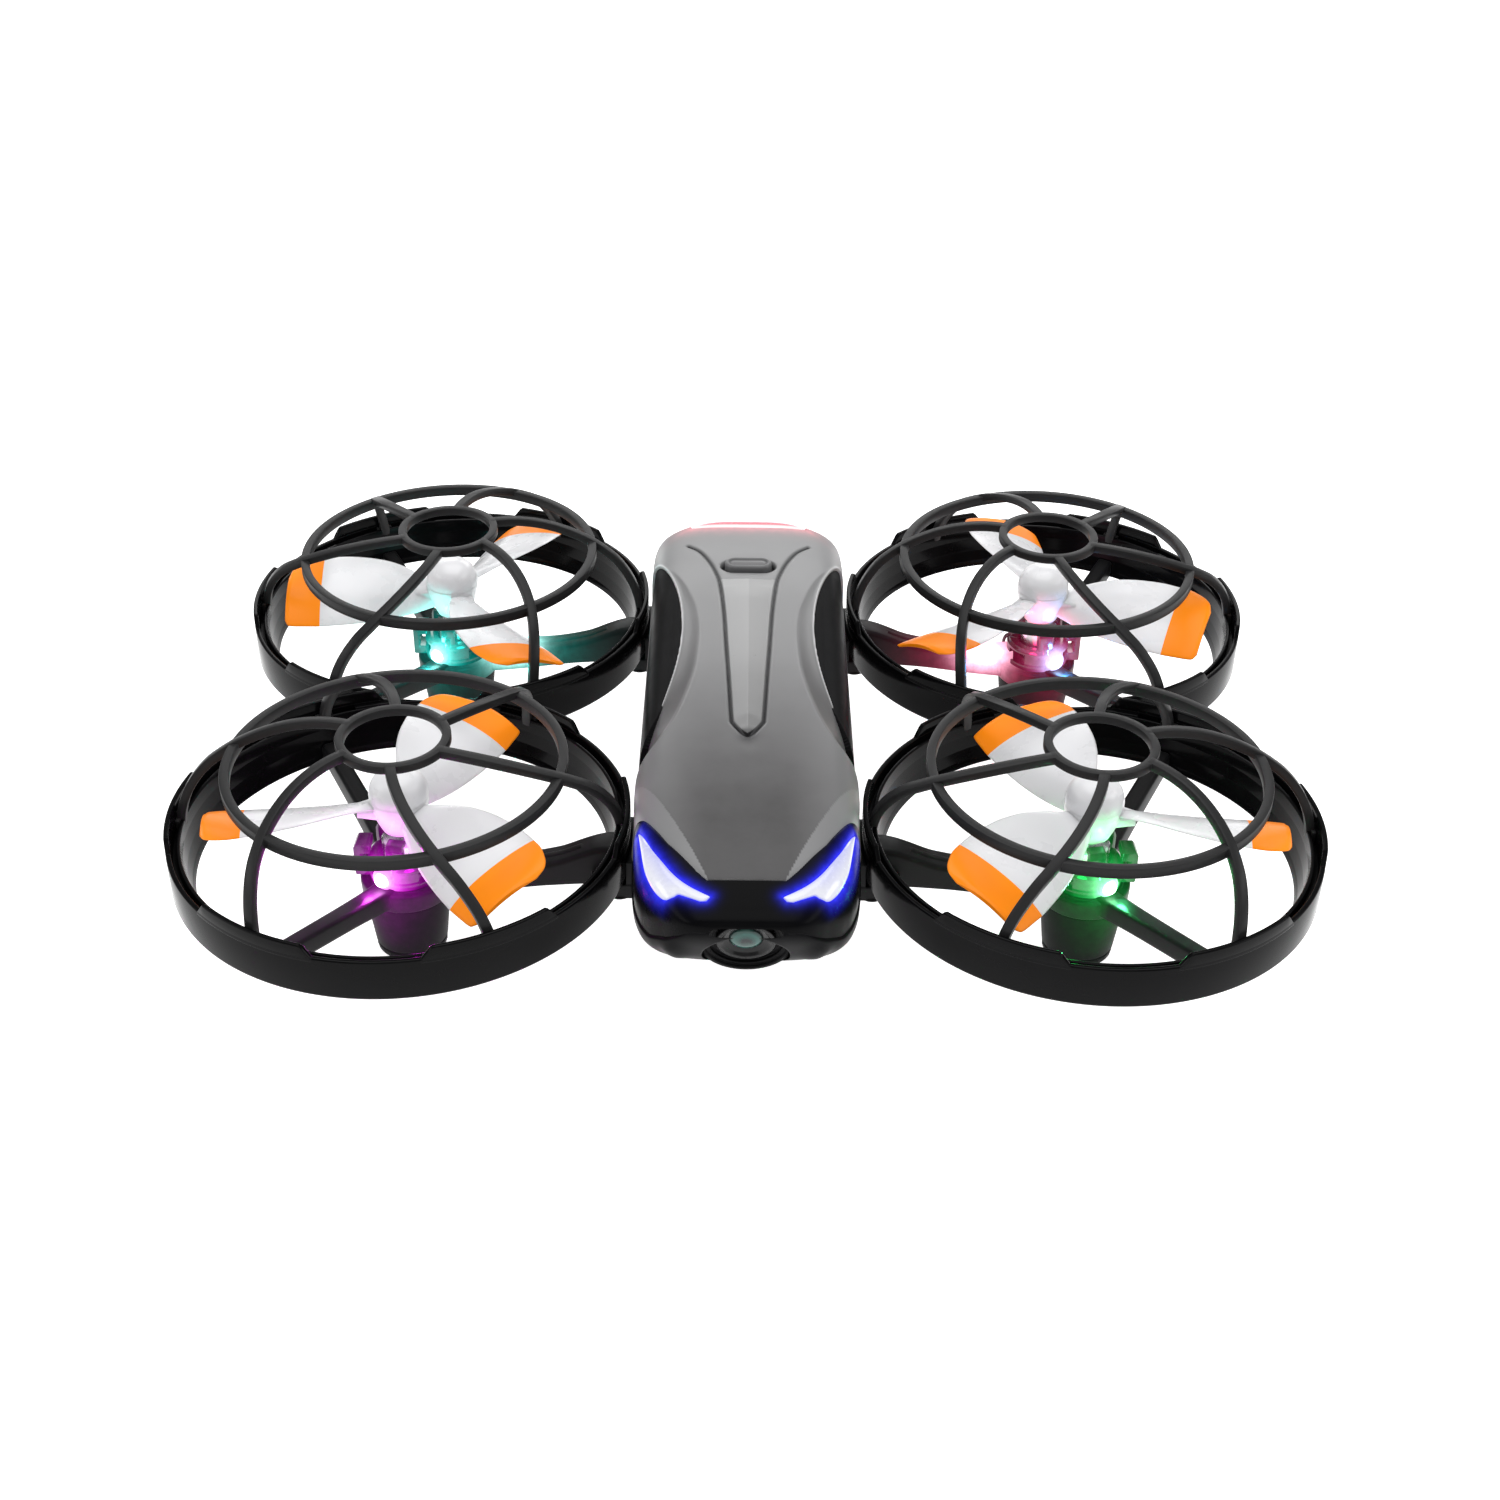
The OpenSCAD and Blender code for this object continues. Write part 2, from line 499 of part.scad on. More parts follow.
// ---------------------------------------------------------------- corners' own nodes
module duct_front_left() corner(1, -1) duct_part();
module duct_front_right() corner(-1, -1) duct_part();
module duct_rear_left() corner(1, 1) duct_part();
module duct_rear_right() corner(-1, 1) duct_part();
module cage_front_left() corner(1, -1) cage_part();
module cage_front_right() corner(-1, -1) cage_part();
module cage_rear_left() corner(1, 1) cage_part();
module cage_rear_right() corner(-1, 1) cage_part();
module arm_front_left() corner(1, -1) arm_part();
module arm_front_right() corner(-1, -1) arm_part();
module arm_rear_left() corner(1, 1) arm_part();
module arm_rear_right() corner(-1, 1) arm_part();
module pod_front_left() pod_corner(1, -1) pod_part();
module pod_front_right() pod_corner(-1, -1) pod_part();
module pod_rear_left() pod_corner(1, 1) pod_part();
module pod_rear_right() pod_corner(-1, 1) pod_part();
module foot_front_left() corner(1, -1) foot_part();
module foot_front_right() corner(-1, -1) foot_part();
module foot_rear_left() corner(1, 1) foot_part();
module foot_rear_right() corner(-1, 1) foot_part();
module motor_front_left() corner(1, -1) motor_part();
module motor_front_right() corner(-1, -1) motor_part();
module motor_rear_left() corner(1, 1) motor_part();
module motor_rear_right() corner(-1, 1) motor_part();
module shaft_front_left() corner(1, -1) shaft_part();
module shaft_front_right() corner(-1, -1) shaft_part();
module shaft_rear_left() corner(1, 1) shaft_part();
module shaft_rear_right() corner(-1, 1) shaft_part();
module light_front_left() pod_corner(1, -1) light_part([0.2, 1, 0.4]);
module light_front_right() pod_corner(-1, -1) light_part([0.9, 0.1, 0.9]);
module light_rear_left() pod_corner(1, 1) light_part([0.2, 0.5, 1]);
module light_rear_right() pod_corner(-1, 1) light_part([0.1, 0.9, 0.8]);
module propeller_front_left() corner(1, -1) propeller_part(10);
module propeller_front_right() corner(-1, -1) propeller_part(10);
module propeller_rear_left() corner(1, 1) propeller_part(-22);
module propeller_rear_right() corner(-1, 1) propeller_part(-4);

lower_shell();
upper_shell();
side_panel_left();
side_panel_right();
spine_trim();
nose_cover();
headlight_left();
headlight_right();
tail_light_bar();
power_button();
button_switch();
camera_housing();
camera_lens_ring();
camera_lens();
camera_sensor();
camera_bracket();
main_board();
board_components();
battery_connector();
battery_pack();
light_boards();
motor_leads();
shell_screws();
duct_screws();
duct_front_left();
duct_front_right();
duct_rear_left();
duct_rear_right();
cage_front_left();
cage_front_right();
cage_rear_left();
cage_rear_right();
arm_front_left();
arm_front_right();
arm_rear_left();
arm_rear_right();
pod_front_left();
pod_front_right();
pod_rear_left();
pod_rear_right();
foot_front_left();
foot_front_right();
foot_rear_left();
foot_rear_right();
motor_front_left();
motor_front_right();
motor_rear_left();
motor_rear_right();
shaft_front_left();
shaft_front_right();
shaft_rear_left();
shaft_rear_right();
light_front_left();
light_front_right();
light_rear_left();
light_rear_right();
propeller_front_left();
propeller_front_right();
propeller_rear_left();
propeller_rear_right();
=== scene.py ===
import bpy
import math
import numpy as np
from mathutils import Matrix, Vector


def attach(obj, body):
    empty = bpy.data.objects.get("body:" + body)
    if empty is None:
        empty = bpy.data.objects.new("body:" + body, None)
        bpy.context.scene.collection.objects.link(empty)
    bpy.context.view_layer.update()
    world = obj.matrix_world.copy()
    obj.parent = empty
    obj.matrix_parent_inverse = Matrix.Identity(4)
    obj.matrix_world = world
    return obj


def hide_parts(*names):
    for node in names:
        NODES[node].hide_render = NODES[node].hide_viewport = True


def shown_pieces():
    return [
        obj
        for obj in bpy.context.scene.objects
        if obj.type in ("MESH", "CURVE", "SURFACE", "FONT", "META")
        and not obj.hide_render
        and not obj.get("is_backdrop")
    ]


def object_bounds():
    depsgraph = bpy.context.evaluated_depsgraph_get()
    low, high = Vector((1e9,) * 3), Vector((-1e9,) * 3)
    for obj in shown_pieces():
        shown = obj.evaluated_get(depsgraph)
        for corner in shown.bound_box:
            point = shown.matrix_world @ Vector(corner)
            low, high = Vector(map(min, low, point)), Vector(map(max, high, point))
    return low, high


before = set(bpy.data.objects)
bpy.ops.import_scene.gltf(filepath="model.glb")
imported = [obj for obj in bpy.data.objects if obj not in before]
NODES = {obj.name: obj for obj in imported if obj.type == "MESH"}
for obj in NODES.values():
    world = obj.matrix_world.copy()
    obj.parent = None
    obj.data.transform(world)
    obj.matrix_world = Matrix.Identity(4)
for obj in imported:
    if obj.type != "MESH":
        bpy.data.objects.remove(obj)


def plain(b):
    return [[float(v) for v in c] for c in b]


CAD_BOX = plain(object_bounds())
scene = bpy.context.scene
MM = 0.001
# height of the datum plane, from which every height below is measured, above the ground
LIFT = round(CAD_BOX[1][2] / MM - 41.6, 3)
RNG = np.random.default_rng(7)


# ------------------------------------------------------------------ numbers
def pch(x, tab):
    """Smooth curve through the points of a table, with no overshoot."""
    t = np.array(tab, float)
    X, Y = t[:, 0], t[:, 1]
    x = np.asarray(x, float)
    h = np.diff(X)
    d = np.diff(Y) / h
    m = np.zeros(len(X))
    for i in range(1, len(X) - 1):
        if d[i - 1] * d[i] > 0:
            w1, w2 = 2 * h[i] + h[i - 1], h[i] + 2 * h[i - 1]
            m[i] = (w1 + w2) / (w1 / d[i - 1] + w2 / d[i])
    m[0], m[-1] = d[0], d[-1]
    xc = np.clip(x, X[0], X[-1])
    k = np.clip(np.searchsorted(X, xc, side="right") - 1, 0, len(X) - 2)
    s = (xc - X[k]) / h[k]
    return (
        (2 * s**3 - 3 * s**2 + 1) * Y[k]
        + (s**3 - 2 * s**2 + s) * h[k] * m[k]
        + (-2 * s**3 + 3 * s**2) * Y[k + 1]
        + (s**3 - s**2) * h[k] * m[k + 1]
    )


def sstep(a, b, x):
    t = np.clip((np.asarray(x, float) - a) / (b - a), 0, 1)
    return t * t * (3 - 2 * t)


def poly_dist(px, py, pts, closed=False):
    """Distance of points to a polyline, and True where they are inside it if closed."""
    pts = np.array(pts, float)
    n = len(pts)
    best = np.full(np.shape(px), 1e9)
    inside = np.zeros(np.shape(px), bool)
    for i in range(n if closed else n - 1):
        a, b = pts[i], pts[(i + 1) % n]
        ab = b - a
        L = ab @ ab
        t = np.clip(((px - a[0]) * ab[0] + (py - a[1]) * ab[1]) / max(L, 1e-12), 0, 1)
        best = np.minimum(best, np.hypot(px - a[0] - t * ab[0], py - a[1] - t * ab[1]))
        if closed:
            cond = (a[1] > py) != (b[1] > py)
            with np.errstate(divide="ignore", invalid="ignore"):
                xi = (b[0] - a[0]) * (py - a[1]) / (b[1] - a[1] + 1e-15) + a[0]
            inside ^= cond & (px < xi)
    return best, inside


def smooth_line(pts, n=120, closed=False):
    """Catmull-Rom curve through 2-D or 3-D points."""
    P = np.array(pts, float)
    if closed:
        P = np.vstack([P[-1], P, P[0], P[1]])
    else:
        P = np.vstack([2 * P[0] - P[1], P, 2 * P[-1] - P[-2]])
    segs = len(P) - 3
    out = []
    for k in range(n + (0 if closed else 1)):
        u = k / n * segs
        i = min(int(u), segs - 1)
        t = u - i
        a, b, c, d = P[i : i + 4]
        out.append(0.5 * (2 * b + (c - a) * t + (2 * a - 5 * b + 4 * c - d) * t * t + (3 * b - a - 3 * c + d) * t**3))
    return np.array(out)


# ------------------------------------------------------------------ mesh builders
class Mesh:
    """Vertices in millimetres, faces, a material number for each face and named values for each vertex."""

    def __init__(self):
        self.v, self.f, self.m, self.at = [], [], [], {}
        self.n = 0

    def add(self, v, f, mat=0, **at):
        v = np.asarray(v, float)
        self.v.append(v)
        self.f.extend([tuple(int(i) + self.n for i in q) for q in f])
        self.m.extend([mat] * len(f) if np.isscalar(mat) else list(mat))
        for k in set(self.at) | set(at):
            old = self.at.setdefault(k, np.zeros(self.n))
            new = np.broadcast_to(np.asarray(at.get(k, 0.0), float), (len(v),))
            self.at[k] = np.concatenate([old, new])
        self.n += len(v)
        return self

    def verts(self):
        return np.vstack(self.v)


def grid_faces(nu, nv, close_u=False, close_v=False, flip=False):
    a = np.arange(nu if close_u else nu - 1)
    b = np.arange(nv if close_v else nv - 1)
    A, B = np.meshgrid(a, b, indexing="ij")
    A2, B2 = (A + 1) % nu, (B + 1) % nv
    q = np.stack([A * nv + B, A2 * nv + B, A2 * nv + B2, A * nv + B2], -1).reshape(-1, 4)
    return q[:, ::-1] if flip else q


def fillet(poly, r, n=4):
    """Round the corners of a closed polygon. r is one radius or one for each corner."""
    P = np.array(poly, float)
    R = np.broadcast_to(np.asarray(r, float), (len(P),))
    out = []
    for i in range(len(P)):
        p, a, b = P[i], P[i - 1], P[(i + 1) % len(P)]
        u, v = a - p, b - p
        lu, lv = np.linalg.norm(u), np.linalg.norm(v)
        u, v = u / lu, v / lv
        c = np.clip(u @ v, -1, 1)
        ang = math.acos(c)
        if R[i] <= 0 or ang > 3.05:
            out.append(p)
            continue
        d = min(R[i] / math.tan(ang / 2), 0.45 * lu, 0.45 * lv)
        rr = d * math.tan(ang / 2)
        cen = p + (u + v) / np.linalg.norm(u + v) * (rr / math.sin(ang / 2))
        s, e = p + u * d - cen, p + v * d - cen
        for k in range(n + 1):
            w = k / n
            q = s * (1 - w) + e * w
            out.append(cen + q / np.linalg.norm(q) * rr)
    return np.array(out)


def lathe(profile, seg=96, a0=None, a1=None, closed=True):
    """Turn an (r, z) profile about Z. With a0 and a1 in degrees it is an arc with flat ends."""
    P = np.array(profile, float)
    full = a0 is None
    ang = np.radians(np.linspace(0, 360, seg, endpoint=False) if full else np.linspace(a0, a1, seg))
    v = np.stack(
        [np.outer(np.cos(ang), P[:, 0]), np.outer(np.sin(ang), P[:, 0]), np.broadcast_to(P[:, 1], (seg, len(P)))], -1
    ).reshape(-1, 3)
    f = [tuple(q) for q in grid_faces(seg, len(P), close_u=full, close_v=closed)]
    if not full:
        n = len(P)
        f += [tuple(range(n - 1, -1, -1)), tuple(range((seg - 1) * n, seg * n))]
        f[-2], f[-1] = f[-2][::-1], f[-1][::-1]
    return v, f


def sweep(path, up, prof, closed=False):
    """Sweep a section along a path. up gives the section's up direction, prof its (side, up) points, one set or one each."""
    P, U = np.array(path, float), np.array(up, float)
    n = len(P)
    T = np.roll(P, -1, 0) - np.roll(P, 1, 0)
    if not closed:
        T[0], T[-1] = P[1] - P[0], P[-1] - P[-2]
    T /= np.linalg.norm(T, axis=1)[:, None]
    S = np.cross(T, U)
    S /= np.linalg.norm(S, axis=1)[:, None]
    U = np.cross(S, T)
    prof = np.asarray(prof, float)
    if prof.ndim == 2:
        prof = np.broadcast_to(prof, (n,) + prof.shape)
    v = P[:, None] + S[:, None] * prof[..., 0:1] + U[:, None] * prof[..., 1:2]
    m = prof.shape[1]
    f = [tuple(q) for q in grid_faces(n, m, close_u=closed, close_v=True, flip=True)]
    if not closed:
        f += [tuple(range(m)), tuple(range(n * m - 1, (n - 1) * m - 1, -1))]
    return v.reshape(-1, 3), f


def rrect(w, h, r, n=3):
    return fillet([[-w / 2, -h / 2], [w / 2, -h / 2], [w / 2, h / 2], [-w / 2, h / 2]], r, n)


def prism(outline, z0, z1, r=0.3, n=3):
    """Upright prism with rounded top and bottom edges, from a closed outline in plan."""
    P = np.array(outline, float)
    if 0.5 * np.sum(P[:, 0] * np.roll(P[:, 1], -1) - np.roll(P[:, 0], -1) * P[:, 1]) < 0:
        P = P[::-1]
    e = np.roll(P, -1, 0) - P
    e /= np.linalg.norm(e, axis=1)[:, None]
    nrm = np.stack([e[:, 1], -e[:, 0]], 1)
    nv = nrm + np.roll(nrm, 1, 0)
    nv /= np.maximum(np.sum(nv * nrm, 1), 0.3)[:, None]
    rings = []
    for k in range(n + 1):
        t = math.pi / 2 * k / n
        rings.append(np.column_stack([P - nv * r * (1 - math.sin(t)), np.full(len(P), z0 + r * (1 - math.cos(t)))]))
    for k in range(n, -1, -1):
        t = math.pi / 2 * k / n
        rings.append(np.column_stack([P - nv * r * (1 - math.sin(t)), np.full(len(P), z1 - r * (1 - math.cos(t)))]))
    m = len(P)
    v = np.vstack(rings)
    f = [tuple(q) for q in grid_faces(len(rings), m, close_v=True, flip=True)]
    f += [tuple(range(m - 1, -1, -1)), tuple(range((len(rings) - 1) * m, len(rings) * m))]
    return v, f


def rot_z(v, deg):
    c, s = math.cos(math.radians(deg)), math.sin(math.radians(deg))
    v = np.asarray(v, float)
    return np.column_stack([v[:, 0] * c - v[:, 1] * s, v[:, 0] * s + v[:, 1] * c, v[:, 2]])


def build(name, mesh, mats, body, replaces=(), flip=False, place=None, sharp=34, merge=False):
    v = mesh.verts()
    if place is not None:
        v = place(v)
    me = bpy.data.meshes.new(name)
    fs = [q[::-1] for q in mesh.f] if flip else mesh.f
    me.from_pydata(((v + [0, 0, LIFT]) * MM).tolist(), [], fs)
    for k, val in mesh.at.items():
        a = me.attributes.new(k, "FLOAT", "POINT")
        a.data.foreach_set("value", np.asarray(val, np.float32))
    for m in mats:
        me.materials.append(m)
    me.polygons.foreach_set("material_index", np.array(mesh.m, np.int32))
    me.polygons.foreach_set("use_smooth", np.ones(len(me.polygons), bool))
    me.validate()
    import bmesh

    bm = bmesh.new()
    bm.from_mesh(me)
    if merge:
        bmesh.ops.remove_doubles(bm, verts=bm.verts, dist=1e-6)
        bmesh.ops.dissolve_degenerate(bm, dist=1e-7, edges=bm.edges)
    bmesh.ops.recalc_face_normals(bm, faces=bm.faces)
    bm.to_mesh(me)
    bm.free()
    me.set_sharp_from_angle(angle=math.radians(sharp))
    ob = bpy.data.objects.new(name, me)
    scene.collection.objects.link(ob)
    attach(ob, body)
    if replaces:
        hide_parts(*replaces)
    return ob


# ------------------------------------------------------------------ materials
def mat_base(name):
    m = bpy.data.materials.new(name)
    m.use_nodes = True
    nt = m.node_tree
    nt.nodes.clear()
    out = nt.nodes.new("ShaderNodeOutputMaterial")
    p = nt.nodes.new("ShaderNodeBsdfPrincipled")
    nt.links.new(p.outputs[0], out.inputs[0])
    return m, nt, p


def node(nt, kind, **kw):
    n = nt.nodes.new(kind)
    for k, v in kw.items():
        if k in n.inputs:
            n.inputs[k].default_value = v
        else:
            setattr(n, k, v)
    return n


def mix_rgb(nt, fac, a, b, mode="MIX"):
    n = nt.nodes.new("ShaderNodeMix")
    n.data_type = "RGBA"
    n.blend_type = mode
    for sock, val in ((n.inputs[0], fac), (n.inputs[6], a), (n.inputs[7], b)):
        if isinstance(val, bpy.types.NodeSocket):
            nt.links.new(val, sock)
        else:
            sock.default_value = val if not isinstance(val, (tuple, list)) else (list(val) + [1])[:4]
    return n.outputs[2]


def math_n(nt, op, a, b=0.0, clamp=False):
    n = nt.nodes.new("ShaderNodeMath")
    n.operation = op
    n.use_clamp = clamp
    for sock, val in ((n.inputs[0], a), (n.inputs[1], b)):
        if isinstance(val, bpy.types.NodeSocket):
            nt.links.new(val, sock)
        else:
            sock.default_value = val
    return n.outputs[0]


def ramp(nt, x, a, b, lo=0.0, hi=1.0):
    n = nt.nodes.new("ShaderNodeMapRange")
    n.inputs[1].default_value, n.inputs[2].default_value = a, b
    n.inputs[3].default_value, n.inputs[4].default_value = lo, hi
    nt.links.new(x, n.inputs[0])
    return n.outputs[0]


def noise(nt, scale, detail=3.0, rough=0.55, co=None):
    n = nt.nodes.new("ShaderNodeTexNoise")
    n.inputs["Scale"].default_value = scale
    n.inputs["Detail"].default_value = detail
    n.inputs["Roughness"].default_value = rough
    if co is None:
        tc = nt.nodes.new("ShaderNodeTexCoord")
        co = tc.outputs["Object"]
    nt.links.new(co, n.inputs["Vector"])
    return n.outputs["Fac"]


def attr(nt, name):
    n = nt.nodes.new("ShaderNodeAttribute")
    n.attribute_name = name
    return n.outputs["Fac"]


def plastic(name, col, rough=0.4, vary=0.08, grain=2600, bump=0.12, coat=0.0, wear=0.35, wear_col=None, spec=0.5,
            edge_r=0.0004, attrs=(), tint=None, metal=0.0, emit=None, trans=0.0, sss=0.0, tone=None, coat_rough=0.08, brushed=False):
    """Moulded plastic or metal: colour drift, handling marks in the roughness, moulded grain and worn edges, with
    painted shade, a painted highlight and painted light taken from vertex attributes.
    """
    m, nt, p = mat_base(name)
    L = nt.links
    tc = nt.nodes.new("ShaderNodeTexCoord").outputs["Object"]
    big = noise(nt, 28, 2, co=tc)
    mid = noise(nt, 160, 4, 0.6, co=tc)
    fine = noise(nt, grain, 2, 0.5, co=tc)
    dark = tuple(c * (1 - vary) for c in col)
    lite = tuple(min(1, c * (1 + vary)) for c in col)
    c = mix_rgb(nt, ramp(nt, big, 0.3, 0.7), dark, lite)
    # painted shade: darken towards the given shade colour where the vertex attribute says
    if tone is not None:
        c = mix_rgb(nt, attr(nt, "tone"), c, tone)
    c = mix_rgb(nt, math_n(nt, "MULTIPLY", mid, 0.10), c, tuple(min(1, x * 1.6 + 0.01) for x in col))
    # worn edges, from the rounded normal against the true one
    bev = nt.nodes.new("ShaderNodeBevel")
    bev.samples = 4
    bev.inputs["Radius"].default_value = edge_r
    geo = nt.nodes.new("ShaderNodeNewGeometry")
    dot = nt.nodes.new("ShaderNodeVectorMath")
    dot.operation = "DOT_PRODUCT"
    L.new(bev.outputs[0], dot.inputs[0])
    L.new(geo.outputs["Normal"], dot.inputs[1])
    edge = ramp(nt, dot.outputs["Value"], 0.995, 0.86)
    edge = math_n(nt, "MULTIPLY", edge, ramp(nt, mid, 0.35, 0.7, 0.35, 1.0), True)
    edge = math_n(nt, "MULTIPLY", edge, wear, True)
    wc = wear_col or tuple(min(1, x * 1.8 + 0.05) for x in col)
    c = mix_rgb(nt, edge, c, wc)
    # dark paints seams and painted shade in hollows; lite paints a highlight
    if "dark" in attrs:
        c = mix_rgb(nt, attr(nt, "dark"), c, (0.004, 0.004, 0.005))
    if "lite" in attrs:
        c = mix_rgb(nt, attr(nt, "lite"), c, (0.75, 0.75, 0.76))
    L.new(c, p.inputs["Base Color"])
    r = ramp(nt, big, 0.25, 0.75, rough * 0.88, rough * 1.12)
    r2 = math_n(nt, "ADD", r, ramp(nt, mid, 0.3, 0.75, -0.04, 0.05))
    L.new(math_n(nt, "ADD", r2, math_n(nt, "MULTIPLY", edge, 0.1), True), p.inputs["Roughness"])
    b = nt.nodes.new("ShaderNodeBump")
    b.inputs["Strength"].default_value = bump
    b.inputs["Distance"].default_value = 0.00006
    L.new(fine, b.inputs["Height"])
    L.new(bev.outputs[0], b.inputs["Normal"])
    L.new(b.outputs[0], p.inputs["Normal"])
    p.inputs["Metallic"].default_value = metal
    p.inputs["Specular IOR Level"].default_value = spec
    p.inputs["Coat Weight"].default_value = coat
    p.inputs["Coat Roughness"].default_value = coat_rough
    if trans:
        p.inputs["Transmission Weight"].default_value = trans
    if sss:
        p.inputs["Subsurface Weight"].default_value = sss
        p.inputs["Subsurface Radius"].default_value = (0.0012, 0.0012, 0.0012)
        p.inputs["Subsurface Scale"].default_value = 1.0
    if brushed:
        mp = node(nt, "ShaderNodeMapping")
        mp.inputs["Scale"].default_value = (1, 1, 30)
        L.new(tc, mp.inputs["Vector"])
        br = noise(nt, 400, 3, 0.6, co=mp.outputs[0])
        L.new(br, b.inputs["Height"])
    if emit:
        # each item is (attribute, colour, strength): light that shows through or falls on the part from a lamp
        total = None
        for an, ec, es in emit:
            a = attr(nt, an)
            a = math_n(nt, "MULTIPLY", a, ramp(nt, noise(nt, 420, 3, 0.6, co=tc), 0.3, 0.7, 0.72, 1.2))
            e = mix_rgb(nt, math_n(nt, "MULTIPLY", a, 1.0, True), (0, 0, 0), tuple(x * es for x in ec))
            total = e if total is None else mix_rgb(nt, 1.0, total, e, "ADD")
        L.new(total, p.inputs["Emission Color"])
        p.inputs["Emission Strength"].default_value = 1.0
    return m


def lamp_mat(name, core, rim, strength, scale=900, base=1.0):
    """A lit diffusing lens, with fine prismatic pattern and a slightly uneven glow."""
    m, nt, p = mat_base(name)
    L = nt.links
    n1 = noise(nt, scale, 2)
    n2 = noise(nt, 90, 2)
    t = attr(nt, "core")
    c = mix_rgb(nt, math_n(nt, "MULTIPLY", t, ramp(nt, n2, 0.2, 0.8, 0.85, 1.1), True), rim, core)
    L.new(c, p.inputs["Emission Color"])
    p.inputs["Emission Strength"].default_value = strength
    L.new(mix_rgb(nt, ramp(nt, n1, 0.3, 0.7), tuple(x * 0.8 * base for x in core), tuple(x * base for x in core)), p.inputs["Base Color"])
    L.new(ramp(nt, n1, 0.3, 0.7, 0.12, 0.3), p.inputs["Roughness"])
    b = nt.nodes.new("ShaderNodeBump")
    b.inputs["Strength"].default_value = 0.2
    b.inputs["Distance"].default_value = 0.00008
    L.new(n1, b.inputs["Height"])
    L.new(b.outputs[0], p.inputs["Normal"])
    p.inputs["Coat Weight"].default_value = 0.4
    p.inputs["Coat Roughness"].default_value = 0.05
    return m


LIGHT = {"front_left": (0.10, 1.0, 0.32), "front_right": (1.0, 0.06, 1.0), "rear_left": (0.10, 0.42, 1.0), "rear_right": (0.05, 0.95, 0.85)}
GLOW = {"front_left": (0.0, 0.60, 0.06), "front_right": (0.62, 0.0, 0.62), "rear_left": (0.85, 0.02, 0.14), "rear_right": (0.0, 0.55, 0.45)}

M_DUCT = plastic("duct_black", (0.002, 0.002, 0.0023), rough=0.17, vary=0.12, grain=3200, bump=0.03, coat=0.10, wear=0.25, wear_col=(0.05, 0.05, 0.055), spec=0.03, edge_r=0.0002)
M_CAGE = plastic("cage_black", (0.021, 0.021, 0.0215), rough=0.36, vary=0.10, bump=0.06, wear=0.3, wear_col=(0.11, 0.11, 0.115), spec=0.12, edge_r=0.00012)
M_STEEL = plastic("motor_steel", (0.62, 0.62, 0.64), rough=0.26, vary=0.05, metal=1.0, bump=0.10, wear=0.1, wear_col=(0.8, 0.8, 0.8), brushed=True)
M_SHAFT = plastic("shaft_steel", (0.70, 0.70, 0.72), rough=0.18, vary=0.04, metal=1.0, bump=0.06, wear=0.1, wear_col=(0.85, 0.85, 0.85), brushed=True)
M_SCREW = plastic("screw_steel", (0.50, 0.50, 0.52), rough=0.32, vary=0.08, metal=1.0, bump=0.2, wear=0.2, wear_col=(0.8, 0.8, 0.8))
M_WHITE = plastic("propeller_white", (0.84, 0.84, 0.86), rough=0.28, vary=0.03, bump=0.05, coat=0.15, wear=0.25, wear_col=(0.7, 0.7, 0.7), sss=0.25)
M_ORANGE = plastic("propeller_orange", (1.0, 0.25, 0.003), rough=0.36, vary=0.06, bump=0.06, coat=0.0, spec=0.2, wear=0.3, wear_col=(0.95, 0.45, 0.12))
# the orange also gives off a faint orange glow: painted light that brightens the tips
_p = M_ORANGE.node_tree.nodes["Principled BSDF"]
_p.inputs["Emission Color"].default_value = (1.0, 0.24, 0.0, 1)
_p.inputs["Emission Strength"].default_value = 0.22
M_ARM, M_POD, M_LENS, M_FOOT = {}, {}, {}, {}
LIGHT_ARM = dict(LIGHT, rear_left=(1.0, 0.10, 0.45))
# painted light: arms, pods and feet give off emission in the LED's colours (glow, halo, hot core, and on the rear arms
# the beam's pool, side), standing in for the LED's light on them
for c in LIGHT:
    M_ARM[c] = plastic("arm_black_" + c, (0.007, 0.007, 0.0075), rough=0.34, bump=0.06, wear=0.2, wear_col=(0.06, 0.06, 0.06), spec=0.1,
                       emit=[("glow", GLOW[c], 0.28), ("side", GLOW[c], 0.55), ("hot", tuple(0.5 + 0.5 * x for x in LIGHT_ARM[c]), 4.5)])
    M_POD[c] = plastic("pod_gloss_black_" + c, (0.006, 0.006, 0.007), rough=0.14, bump=0.04, coat=0.25, wear=0.15, wear_col=(0.12, 0.12, 0.12), spec=0.5,
                       coat_rough=0.05, emit=[("glow", GLOW[c], 0.85), ("halo", LIGHT[c], 1.1), ("hot", tuple(0.35 + 0.65 * x for x in LIGHT[c]), 4.5)])
    M_FOOT[c] = plastic("foot_black_" + c, (0.006, 0.006, 0.0065), rough=0.5, bump=0.12, wear=0.3, wear_col=(0.05, 0.05, 0.055), spec=0.06,
                        emit=[("glow", GLOW[c], 0.14)])
    M_LENS[c] = lamp_mat("lens_" + c, tuple(0.6 + 0.4 * x for x in LIGHT[c]), LIGHT[c], 14)

# ------------------------------------------------------------------ corners
DX, DY = 69.4, 43.8
CORNERS = {"front_left": (1, -1), "front_right": (-1, -1), "rear_left": (1, 1), "rear_right": (-1, 1)}
TURN = {"front_left": 10, "front_right": 10, "rear_left": -22, "rear_right": -4}


def duct_place(c):
    sx, sy = CORNERS[c]
    return lambda v: np.column_stack([sx * (DX - v[:, 0]), sy * (DY - v[:, 1]), v[:, 2]])


def pod_place(c):
    sx, sy = CORNERS[c]
    return lambda v: np.column_stack([sx * (DX - v[:, 0]), sy * DY + v[:, 1], v[:, 2]])


